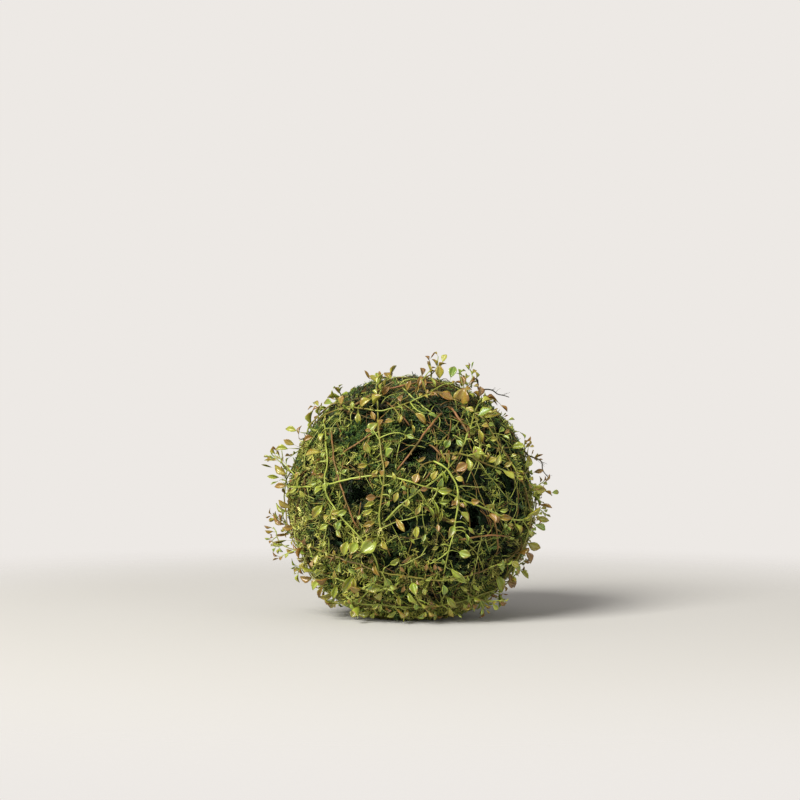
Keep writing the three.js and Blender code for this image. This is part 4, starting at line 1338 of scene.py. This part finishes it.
def frond(seed):
    """A frond that sets off along X from its root at the origin and rises a little."""
    numbers = np.random.default_rng(seed)
    turn, nod = numbers.uniform(-2.2, 2.2), numbers.uniform(0.2, 1.3)
    spine = curl_line(np.zeros(3), -turn / 3, 0.35, FROND_LENGTH, turn, nod, 5)
    share = np.linspace(0, 1, 5)
    parts = [stem(spine, FROND_THREAD * np.array([0.9, 1, 0.8, 0.9, 0.35]), 3)]
    for k in range(BRANCHES):
        at = FIRST_BRANCH + NEXT_BRANCH * k
        root = np.array([np.interp(at, share, spine[:, axis]) for axis in range(3)])
        way = 1 if k % 2 else -1
        heading = -turn / 3 + turn * at + way * numbers.uniform(0.6, 1.5)
        length = numbers.uniform(1.6, 3.6) * (1.15 - 0.4 * at)
        line = curl_line(root, heading, numbers.uniform(-0.3, 0.9), length, 0, 0, 2)
        parts.append(stem(line, FROND_THREAD * np.array([0.95, 0.5]), 3))
    return joined(parts)


fronds = [frond(seed) for seed in range(FROND_PATTERNS)]
print("a frond has", int((fronds[0]["sides"] - 2).sum()), "triangles")

# %% [markdown]
# ## Planting the fronds
# The fronds root in the mat, about 3 mm apart, in tufts that lean the same way. They lie flatter
# beside a strand, as if it had been wound over them, and those that would reach far over a gap turn
# away from it. A golden spiral spreads the roots evenly, and a little random shift hides its pattern.

# %% Roots on a golden spiral
ROOT_SPOTS = 22000
ROOTS_FROM = 1.08  # how far out from the middle of a gap the roots begin
numbers = np.random.default_rng(11)
turn_number = np.arange(ROOT_SPOTS) + 0.5
height = 1 - 2 * turn_number / ROOT_SPOTS
spiral = turn_number * math.pi * (3 - math.sqrt(5))
level = np.sqrt(1 - height**2)
roots = np.stack([level * np.cos(spiral), level * np.sin(spiral), height], axis=1)
roots = unit(roots + numbers.normal(0, 0.01, roots.shape))
keep = hole_share(roots) + RAGGEDNESS * rough(roots, 4, 5) > ROOTS_FROM
keep &= numbers.random(ROOT_SPOTS) < lushness(roots) + 0.85 * rough(roots, 6, 41)
roots = roots[keep]
print(len(roots), "roots")

# %% Roots beside a strand
# 0 under a strand, where the fronds are pressed down, and 1 where they stand free.
PRESSED_TO, PRESSED_FADE = 1.5, 4  # mm from a strand's middle
STRAND_HEIGHT = 1.5  # mm of a strand's middle over the moss
strand_tree = KDTree(len(strand_points))
for i, point in enumerate(strand_points):
    strand_tree.insert(point, i)
strand_tree.balance()
from_strand = np.array([strand_tree.find(d * (MOSS_RADIUS + STRAND_HEIGHT))[2] for d in roots])
beside_strand = np.clip((from_strand - PRESSED_TO) / PRESSED_FADE, 0, 1)
print(round(100 * float((beside_strand < 1).mean())), "% of the roots are beside a strand")


# %% Size and lean of each frond
def tangents_at(d):
    """Two unit vectors along the ball at d, at right angles to each other."""
    east = unit(np.cross([0, 0, 1.0], d) + 1e-6)
    return east, np.cross(d, east)


EDGE_SINK, EDGE_WITHIN = 4.2, 2.0  # mm that the moss sinks at a gap, and how far from it in gap widths
TURN_BACK_AT = 0.7  # a tip further into a gap than this share of its width turns back
TIP_REACH = 0.8  # how far out a frond's tip lies, as a share of its length
size = numbers.uniform(0.65, 1.3, len(roots))
tuft = rough(roots, 7, 77)
root_height = mat_radius(roots) + numbers.uniform(0, 2.5, len(roots))
top = moss_radius(roots) + beside_strand * (1.2 + 3.2 * tuft + numbers.uniform(-1.5, 1.8, len(roots)))
top -= EDGE_SINK * np.clip(EDGE_WITHIN - hole_share(roots), 0, 1)
slope = np.clip((top - root_height) / (FROND_LENGTH * size), 0.02, 0.95)
lift = np.arcsin(slope * numbers.uniform(0.45, 1.0, len(roots)))
heading = 5 * rough(roots, 20, 3) + numbers.normal(0, 1.1, len(roots))
roll = numbers.normal(0, 0.5, len(roots))
east, north = tangents_at(roots)
level_ahead = np.cos(heading)[:, None] * east + np.sin(heading)[:, None] * north
tip_angle = TIP_REACH * FROND_LENGTH / MOSS_RADIUS * size * np.cos(lift)
frond_tips = unit(roots + level_ahead * tip_angle[:, None])
level_ahead[hole_share(frond_tips) < TURN_BACK_AT] *= -1
ahead = np.cos(lift)[:, None] * level_ahead + np.sin(lift)[:, None] * roots
across = np.cross(roots, level_ahead)
above = np.cross(ahead, across)
side = np.cos(roll)[:, None] * across + np.sin(roll)[:, None] * above
turns = np.stack([ahead, side, np.cross(ahead, side)], axis=2) * size[:, None, None]
print("fronds are", size.min().round(2), "to", size.max().round(2), "of the pattern's size")

# %% Colour of each frond
# Lush moss is lighter. Painted shade makes the moss darker upwards, most of all at the crown, and towards a
# gap, and painted light makes it lighter low down.
GAP_PAINTED_SHADE, GAP_PAINTED_SHADE_REACH = 0.2, 2.2  # the change of tone, and how far from a gap in gap widths
# Lighter and darker patches at the front: x, z and width in mm, and the change of tone. The dark one at the
# upper left is a painted shadow, as of a neighbouring ball.
SHADOW_AND_TONE_PATCHES = [
    (-42, 68, 22, -0.2),
    (8, 34, 20, -0.2),
    (5, -24, 18, 0.3),
    (0, -62, 20, -0.2),
    (-50, -66, 18, -0.15),
    (68, -36, 16, -0.15),
    (62, 40, 16, -0.1),
]
tones = 0.2 + 0.3 * lushness(roots) + 0.14 * tuft + 0.22 * numbers.normal(0, 1, len(roots))
# Painted shade: darker upwards and most at the crown, and painted light: lighter low down.
tones -= 0.18 * roots[:, 2] + 0.22 * np.clip((roots[:, 2] - 0.6) / 0.2, 0, 1)
# Painted shade round every gap.
tones -= GAP_PAINTED_SHADE * np.clip(GAP_PAINTED_SHADE_REACH - hole_share(roots), 0, 1)
# Lighter and darker patches; the one at the upper left is a painted shadow.
for x, z, width, amount in SHADOW_AND_TONE_PATCHES:
    apart = np.hypot(MOSS_RADIUS * roots[:, 0] - x, MOSS_RADIUS * roots[:, 2] - z)
    tones += amount * np.exp(-((apart / width) ** 2)) * (roots[:, 1] < 0)
pattern = numbers.integers(0, len(fronds), len(roots))
home = np.argmax(roots @ np.array(list(middles.values())).T, axis=1)
print("tones from", tones.min().round(2), "to", tones.max().round(2))

# %% [markdown]
# Loose threads lie over the fronds, some short and some as long as a finger: old stems, dry grass and
# thin roots, brown, orange or green. Round the crown they run sideways, as in a nest.

# %% Threads
FIBRES = 1000
LONG_FIBRES = 300
NEST_FIBRES = 200
SHORT_SEED, LONG_SEED, NEST_SEED = 9000, 19000, 29000
LEAST_REACH_IN, MOST_REACH_IN = 0.85, 0.2  # how near to the middle of a gap a thread may come


def fibre(seed, kind):
    """A thin stalk that dips in and out of the moss, and the direction of its first point."""
    numbers = np.random.default_rng(seed)
    long = kind != "short"
    d = unit(numbers.normal(0, 1, 3))
    if kind == "nest":
        d = place_on_ball(numbers.uniform(0, 360), numbers.uniform(50, 78))[0]
    east, north = tangents_at(d)
    heading = numbers.uniform(0, math.tau)
    if kind == "nest":
        heading = numbers.normal(0, 0.2)
    ahead = math.cos(heading) * east + math.sin(heading) * north
    length = numbers.uniform(35, 80) if long else numbers.uniform(9, 26)
    count = max(5, round(length / 4))
    angle = np.linspace(0, length / MOSS_RADIUS, count)
    bend = numbers.uniform(-0.25, 0.25) * (angle**2)[:, None] * 4
    line = unit(np.cos(angle)[:, None] * d + np.sin(angle)[:, None] * ahead + bend * np.cross(d, ahead))
    arch = np.sin(np.linspace(0.1, 0.9, count) * math.pi)
    rise = (numbers.uniform(0.5, 2.2) if long else numbers.uniform(1.0, 4.5)) * arch - 1.5
    points = line * (moss_radius(line) + rise)[:, None]
    points = wander(points, seed, 1.2, 9)
    thick = numbers.uniform(0.35, 0.75) if long else numbers.uniform(0.25, 0.5)
    radii = thick * np.linspace(1, 0.5, count)
    tone = numbers.uniform(0, 0.3) if kind == "nest" else numbers.uniform(0.1, 1)
    return stem(points, radii, 4, tone=np.full(count, tone)), d


fibres = [fibre(SHORT_SEED + i, "short") for i in range(FIBRES)]
fibres += [fibre(LONG_SEED + i, "long") for i in range(LONG_FIBRES)]
fibres += [fibre(NEST_SEED + i, "nest") for i in range(NEST_FIBRES)]
limits = np.random.default_rng(41).uniform(MOST_REACH_IN, LEAST_REACH_IN, len(fibres))
clear = [hole_share(unit(shape["points"])).min() > limit for (shape, _), limit in zip(fibres, limits)]
fibres = [f for f, is_clear in zip(fibres, clear) if is_clear]
print(len(fibres), "threads, some of which reach over the edge of a gap")

# %% Fronds and threads of each pad
fibre_home = [int(np.argmax(list(middles.values()) @ d)) for _, d in fibres]
for p, name in enumerate(PADS):
    shapes = []
    for k, shape in enumerate(fronds):
        mine = (home == p) & (pattern == k)
        planted = copies(shape, turns[mine], (roots * root_height[:, None])[mine], tone=tones[mine])
        grown = planted["points"]
        planted["marks"]["rise"] = np.linalg.norm(grown, axis=1) - moss_radius(unit(grown))
        shapes.append(planted)
    add_piece(name + "_fronds", shapes, frond_material, nodes=[name], smooth=False)
    threads = [shape for (shape, _), h in zip(fibres, fibre_home) if h == p]
    add_piece(name + "_threads", threads, thread_material, nodes=[name])
    print(name, "has", counts[name + "_fronds"], "triangles of fronds")

# %% [markdown]
# ## Hoops and bark twigs
# A hoop is one bent twig whose ends meet. It bows outwards where it passes over another hoop, and
# inwards where it passes under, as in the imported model. The bark twigs are shorter: their ends are
# snapped, and side buds have left stubs.

# %% Woven hoops
HOOP_RADIUS = 82.35
HOOP_TWIG = 1.6  # the willow's radius in mm
HOOP_WEAVE = 1.75  # mm outwards or inwards at a crossing
HOOP_SPREAD = math.radians(12)
golden = (1 + math.sqrt(5)) / 2
diagonals = [
    (0, 1, golden),
    (0, -1, golden),
    (1, golden, 0),
    (-1, golden, 0),
    (golden, 0, 1),
    (golden, 0, -1),
]
tilt = Matrix.Rotation(0.3, 3, "X") @ Matrix.Rotation(0.25, 3, "Y") @ Matrix.Rotation(0.1, 3, "Z")
axes = [np.array(tilt @ Vector(d).normalized()) for d in diagonals]
HOOP_STEPS = 110
for k, axis in enumerate(axes):
    others = [other for other in axes if other is not axis]
    start = unit(np.cross(axis, others[0]))
    side = np.cross(axis, start)
    angle = np.linspace(0, math.tau, HOOP_STEPS, endpoint=False)
    bow = np.zeros(HOOP_STEPS)
    for other in others:
        cross = unit(np.cross(axis, other))
        over = np.sign(axis @ other)
        at = math.atan2(cross @ side, cross @ start)
        for turn, way in ((at, over), (at + math.pi, -over)):
            apart = (angle - turn + math.pi) % math.tau - math.pi
            bow += way * HOOP_WEAVE * np.exp(-((apart / HOOP_SPREAD) ** 2))
    ring = np.cos(angle)[:, None] * start + np.sin(angle)[:, None] * side
    points = wander(ring * (HOOP_RADIUS + bow)[:, None], k, 0.5, 14)
    shape = stem(
        points,
        HOOP_TWIG * uneven(HOOP_STEPS, k, 0.8, 1.1),
        8,
        loop=True,
        tone=uneven(HOOP_STEPS, k + 40, 0.2, 0.7, 9),
    )
    name = f"twig_hoop_{k + 1}"
    add_piece(name + "_willow", [shape], hoop_material, nodes=[name])
print(len(axes), "hoops, each of", counts[name + "_willow"], "triangles")

# %% Soften a strand's line
TUCK_DEPTH, TUCK_REACH = 3.5, 9.0  # mm


def softened(points):
    """The same line with its corners rounded."""
    weights = np.array([1, 2, 3, 2, 1]) / 9
    padded = np.vstack([points[:1]] * 2 + [points] + [points[-1:]] * 2)
    return np.stack([np.convolve(padded[:, k], weights, "valid") for k in range(3)], axis=1)


def tucked(points, both_ends):
    """The same line with its first end, or both, pushed into the moss."""
    run = np.arange(len(points)) * FINE_STEP
    from_end = np.minimum(run, run[-1] - run) if both_ends else run
    sink = TUCK_DEPTH * np.clip(1 - from_end / TUCK_REACH, 0, 1) ** 2
    return points - unit(points) * sink[:, None]


# %% Bark twigs
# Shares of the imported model's radius.
TWIG_GIRTH = {"bark_twig_temple": 0.95, "bark_twig_slant": 0.8}
USUAL_GIRTH = 0.68
BUD_STUBS = 2
for k, strand in enumerate(bark_twigs):
    numbers = np.random.default_rng(300 + k)
    crooked = wander(wander(softened(strand["points"]), k, 0.6, 12), k, 0.3, 4)
    points = tucked(crooked, both_ends=True)
    count = len(points)
    girth = TWIG_GIRTH.get(strand["name"], USUAL_GIRTH)
    radii = strand["radius"] * girth * np.linspace(1, 0.7, count) * uneven(count, k, 0.8, 1.15, 3)
    tone = uneven(count, k + 60, 0.1, 0.75, 9)
    shapes = [stem(points, radii, 8, tone=tone)]
    for _ in range(BUD_STUBS):
        at = int(numbers.integers(2, count - 2))
        ahead = unit(points[at + 1] - points[at])
        out = unit(points[at])
        across = np.cross(ahead, out) * numbers.choice([-1, 1])
        point = points[at] + radii[at] * 0.3 * across
        growth = unit(ahead * 0.7 + across * 0.5 + out * 0.5) * numbers.uniform(2, 5)
        line = point + np.linspace(0, 1, 3)[:, None] * growth
        shapes.append(stem(line, np.array([0.6, 0.5, 0.35]) * strand["radius"], 6, tone=np.full(3, 0.3)))
    add_piece(strand["name"] + "_bark", shapes, bark_material, nodes=[strand["name"]])
print(len(bark_twigs), "bark twigs")

# %% Rootlets
ROOT_HAIRS = 6
for k, strand in enumerate(rootlets):
    numbers = np.random.default_rng(500 + k)
    points = wander(softened(strand["points"]), k + 3, 1.6, 11)
    count = len(points)
    radii = strand["radius"] * np.linspace(1.3, 0.5, count)
    shapes = [stem(points, radii, 6, tone=uneven(count, k, 0.2, 0.6))]
    for _ in range(ROOT_HAIRS):
        at = int(numbers.integers(1, count - 1))
        ahead = unit(points[at + 1] - points[at])
        growth = unit(ahead + unit(numbers.normal(0, 1, 3)) * 1.1 + unit(points[at]) * 0.5)
        share = np.linspace(0, 1, 5)[:, None]
        curl = unit(numbers.normal(0, 1, 3)) * share**2 * 0.5
        line = points[at] + (growth * share + curl) * numbers.uniform(2, 6)
        shapes.append(stem(line, 0.22 * np.linspace(1, 0.4, 5), 4, tone=np.full(5, 0.4)))
    add_piece(strand["name"] + "_hairs", shapes, rootlet_material, nodes=[strand["name"]])
print(len(rootlets), "rootlets")

# %% [markdown]
# ## Leafy vines
# The stems first: each thins towards its tip and swells a little where a leaf grows. Some vines are
# fresh and green, and others are old and brown, which the numbers below give. Short side
# shoots stand off them, with a few small leaves and two curled leaflets at the tip.

# %% How green each vine is
GREENNESS = {
    "vine_band": 0.85,
    "vine_left": 0.75,
    "vine_olive": 0.4,
    "vine_front": 0.62,
    "vine_shoot": 0.95,
    "vine_keel": 0.3,
    "vine_limb": 0.3,
    "vine_chin": 0.8,
    "vine_hem": 0.55,
    "vine_brow": 0.4,
    "vine_shoulder": 0.35,
    "vine_nape": 0.6,
    "vine_back": 0.7,
    "vine_cheek": 0.45,
}

# %% Side shoots
SHOOT_STEPS = 5
SHOOT_LEAVES = (0.35, 0.6, 0.85, 1.0, 1.0)  # shares of the shoot's length
SHOOT_CLEARANCE = 0.9  # mm from another strand
ABOVE_TABLE, ABOVE_MOSS = 3, 0.6  # mm
YOUNG_GAP = 0.1  # mm between young leaves


def grow_shoots(index, pitch, seed):
    """Short side shoots along a strand, each with small leaves and two curled leaflets at its tip."""
    strand = strands[index]
    numbers = np.random.default_rng(seed)
    points, outs = strand["points"], strand["out"]
    reached = pitch * numbers.uniform(0.3, 0.9)
    while reached < (len(points) - 4) * FINE_STEP:
        i = round(reached / FINE_STEP)
        reached += pitch * numbers.uniform(0.6, 1.4)
        out = outs[i]
        ahead = unit(points[i + 2] - points[i])
        across = unit(np.cross(ahead, out)) * numbers.choice([-1, 1])
        swing = math.radians(numbers.uniform(20, 75))
        lean = math.radians(numbers.uniform(10, 40))
        length = numbers.uniform(8, 17)
        direction = unit(
            (ahead * math.cos(swing) + across * math.sin(swing)) * math.cos(lean) + out * math.sin(lean)
        )
        share = np.linspace(0, 1, SHOOT_STEPS + 1)[:, None]
        curl = across * numbers.uniform(-0.3, 0.3) + out * numbers.uniform(-0.25, 0.2)
        line = points[i] + length * (direction * share + curl * share**2)
        others = strand_owner != index
        apart = np.linalg.norm(line[2:, None] - strand_points[None, others], axis=2)
        if (apart < strand_radii[None, others] + SHOOT_CLEARANCE).any():
            continue
        if line[:, 2].min() < -CENTRE_HEIGHT + ABOVE_TABLE:
            continue
        if (np.linalg.norm(line[2:], axis=1) - moss_radius(unit(line[2:]))).min() < ABOVE_MOSS:
            continue
        shoots.append({"owner": index, "at": i, "line": line, "tone": numbers.uniform(0.5, 0.95)})
        for k, at in enumerate(SHOOT_LEAVES):
            base = line[round(at * SHOOT_STEPS)]
            way = 1 if k % 2 else -1
            fan = math.radians(numbers.uniform(20, 65))
            along = unit(direction * math.cos(fan) + way * unit(np.cross(direction, out)) * math.sin(fan))
            along = unit(along + out * numbers.uniform(0, 0.5))
            strap = at == 1.0
            reach = numbers.uniform(4.5, 8) if strap else numbers.uniform(5, 9)
            leaf = {
                "owner": index,
                "at": i,
                "kind": "strap" if strap else "young",
                "base": base,
                "along": along,
                "flat": unit(np.cross(along, out)),
                "reach": reach,
                "width": reach * (0.2 if strap else numbers.uniform(0.38, 0.5)),
                "tone": numbers.random(),
                "pick": numbers.random(),
                "roll": GROWN_ROLL,
            }
            if leaf_fits(leaf, YOUNG_GAP):
                keep_leaf(leaf)


LOW_PITCH, HIGH_PITCH, SPRIG_PITCH = 20, 38, 9  # mm from one shoot to the next
for i in range(len(vines)):
    low = strands[first_vine + i]["points"][:, 2].mean() < LEAFY_BELOW
    grow_shoots(first_vine + i, pitch=LOW_PITCH if low else HIGH_PITCH, seed=800 + i)
for i in range(len(sprigs)):
    grow_shoots(first_sprig + i, pitch=SPRIG_PITCH, seed=900 + i)

# %% Young leaves
for i in range(len(vines)):
    grow_leaves(
        first_vine + i,
        pitch=12,
        shortest=6,
        longest=12,
        seed=2001 + 17 * i,
        gap=YOUNG_GAP,
        kind="young",
    )
for i in range(len(sprigs)):
    grow_leaves(
        first_sprig + i,
        pitch=3,
        shortest=6,
        longest=10,
        seed=2501 + 17 * i,
        gap=YOUNG_GAP,
        kind="young",
    )
print(len(leaves), "leaves, and", len(shoots), "side shoots and stalks")

# %% [markdown]
# ## Leaf patterns
# A leaf is a thin blade on a short stalk: broadest past its middle, with a tapered base and a blunt
# tip, and folded a little along the midrib. It starts as a grid, whose points are set to the leaf's
# outline, cup and droop, and a solidify makes it a closed sheet. Eight patterns differ in cup, droop
# and twist, and four more that curl up or down serve the narrow, strap-like leaves.

# %% Leaf pattern
LEAF_SHEET = 0.03  # the blade's thickness, as a share of the leaf's reach
STALK_OVERLAP = 0.06  # how far the stalk runs into the blade, as a share of the reach
BROAD_PATTERNS, STRAP_PATTERNS = 8, 4
STRAP_CURL = 0.35


def leaf_pattern(seed, curl):
    """A leaf one unit long along X and one unit wide along Y, face up, as shares of its reach."""
    numbers = np.random.default_rng(seed)
    fold = numbers.uniform(0.3, 0.75)
    droop = numbers.uniform(-0.2, 0.35) + curl
    twist = numbers.uniform(-0.9, 0.9)
    ripple = numbers.uniform(0.0, 0.03)
    bm = bmesh.new()
    margin = bm.verts.layers.float.new("margin")
    along = bm.verts.layers.float.new("along")
    bmesh.ops.create_grid(bm, x_segments=5, y_segments=4, size=1)
    for v in bm.verts:
        t, s = (v.co.x + 1) / 2, v.co.y
        v[margin], v[along] = abs(s), t
        half = 0.5 * max(0.04, math.sin(math.pi * t**1.15) ** 0.85) if 0 < t < 1 else 0.02
        x = BLADE_FROM + (1 - BLADE_FROM) * t
        y = half * s
        z = fold * abs(y) ** 1.3 + ripple * math.sin(9 * t + 2) * abs(s) - droop * t**2
        turn = twist * t * 0.4
        v.co = (x, y * math.cos(turn), z + 0.45 * y * math.sin(turn))
    bmesh.ops.recalc_face_normals(bm, faces=bm.faces[:])
    bmesh.ops.solidify(bm, geom=bm.faces[:], thickness=LEAF_SHEET)
    blade = shape_of(bm)
    share = np.linspace(0, 1, 3)
    stalk_length = BLADE_FROM + STALK_OVERLAP
    line = np.stack([share * stalk_length, 0 * share, 0.04 * np.sin(share * math.pi)], axis=1)
    stalk = stem(line, np.array([0.034, 0.026, 0.024]), 3, margin=0 * share, along=0 * share)
    return joined([blade, stalk])


broad_patterns = [leaf_pattern(seed, 0.0) for seed in range(BROAD_PATTERNS)]
strap_patterns = [
    leaf_pattern(50 + seed, STRAP_CURL - 2 * STRAP_CURL * (seed % 2)) for seed in range(STRAP_PATTERNS)
]
print("a leaf has", len(broad_patterns[0]["sides"]), "faces")


# %% Place leaves
def leaf_shapes(own):
    """Copies of the patterns for the given leaves. A leaf's pick gives its pattern and its roll."""
    shapes = []
    for patterns, straps in ((broad_patterns, False), (strap_patterns, True)):
        for k, pattern in enumerate(patterns):
            chosen = [
                leaf
                for leaf in own
                if (leaf["kind"] == "strap") == straps and int(leaf["pick"] * len(patterns)) == k
            ]
            if not chosen:
                continue
            along = np.array([leaf["along"] for leaf in chosen])
            flat = -np.array([leaf["flat"] for leaf in chosen])
            roll = np.array([(leaf["pick"] * 37 % 1 - 0.5) * leaf["roll"] for leaf in chosen])[:, None]
            flat = flat * np.cos(roll) + np.cross(along, flat) * np.sin(roll)
            face = np.cross(along, flat)
            reach = np.array([leaf["reach"] for leaf in chosen])[:, None]
            width = np.array([leaf["width"] for leaf in chosen])[:, None]
            turns = np.stack([along * reach, flat * width, face * reach], axis=2)
            tone = np.array([leaf["tone"] for leaf in chosen])
            shapes.append(copies(pattern, turns, np.array([leaf["base"] for leaf in chosen]), tone=tone))
    return shapes


# %% Stems and leaves of the vines and sprigs
SWELLING, SWELLING_REACH = 0.3, 1.6  # where a leaf grows: a share of the radius, and mm along the stem
STEM_FOOT, STEM_TIP = 0.78, 0.5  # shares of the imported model's radius
SHOOT_RADIUS = 0.55  # mm
for index in range(first_vine, first_sprig + len(sprigs)):
    strand = strands[index]
    name = strand["name"]
    crooked = wander(wander(softened(strand["points"]), index, 0.6, 12), index, 0.35, 5)
    points = tucked(crooked, both_ends=index < first_sprig)
    moved = points - strand["points"]
    count = len(points)
    own = [leaf for leaf in leaves if leaf["owner"] == index]
    for leaf in own:
        leaf["base"] = leaf["base"] + moved[leaf["at"]]
    swelling = np.zeros(count)
    for leaf in own:
        at = np.linalg.norm(points - leaf["base"], axis=1)
        swelling = np.maximum(swelling, SWELLING * np.exp(-((at / SWELLING_REACH) ** 2)))
    taper = np.linspace(STEM_FOOT, STEM_TIP, count)
    radii = strand["radius"] * taper * (uneven(count, index, 0.8, 1.02) + swelling)
    green = GREENNESS.get(name, 0.5)
    tone = np.clip(green + uneven(count, index + 90, -0.3, 0.3, 16), 0, 1)
    shapes = [stem(points, radii, 8, tone=tone)]
    for shoot in shoots:
        if shoot["owner"] == index:
            line = shoot["line"] + moved[shoot["at"]]
            shoot_radii = SHOOT_RADIUS * np.linspace(1, 0.6, len(line))
            shapes.append(stem(line, shoot_radii, 5, tone=np.full(len(line), shoot["tone"])))
    add_piece(name + "_stem", shapes, vine_material, nodes=[name])
    if own:
        add_piece(name + "_leaves", leaf_shapes(own), leaf_material, nodes=[name])
print("whole ball:", sum(counts.values()), "triangles in", len(counts), "pieces")
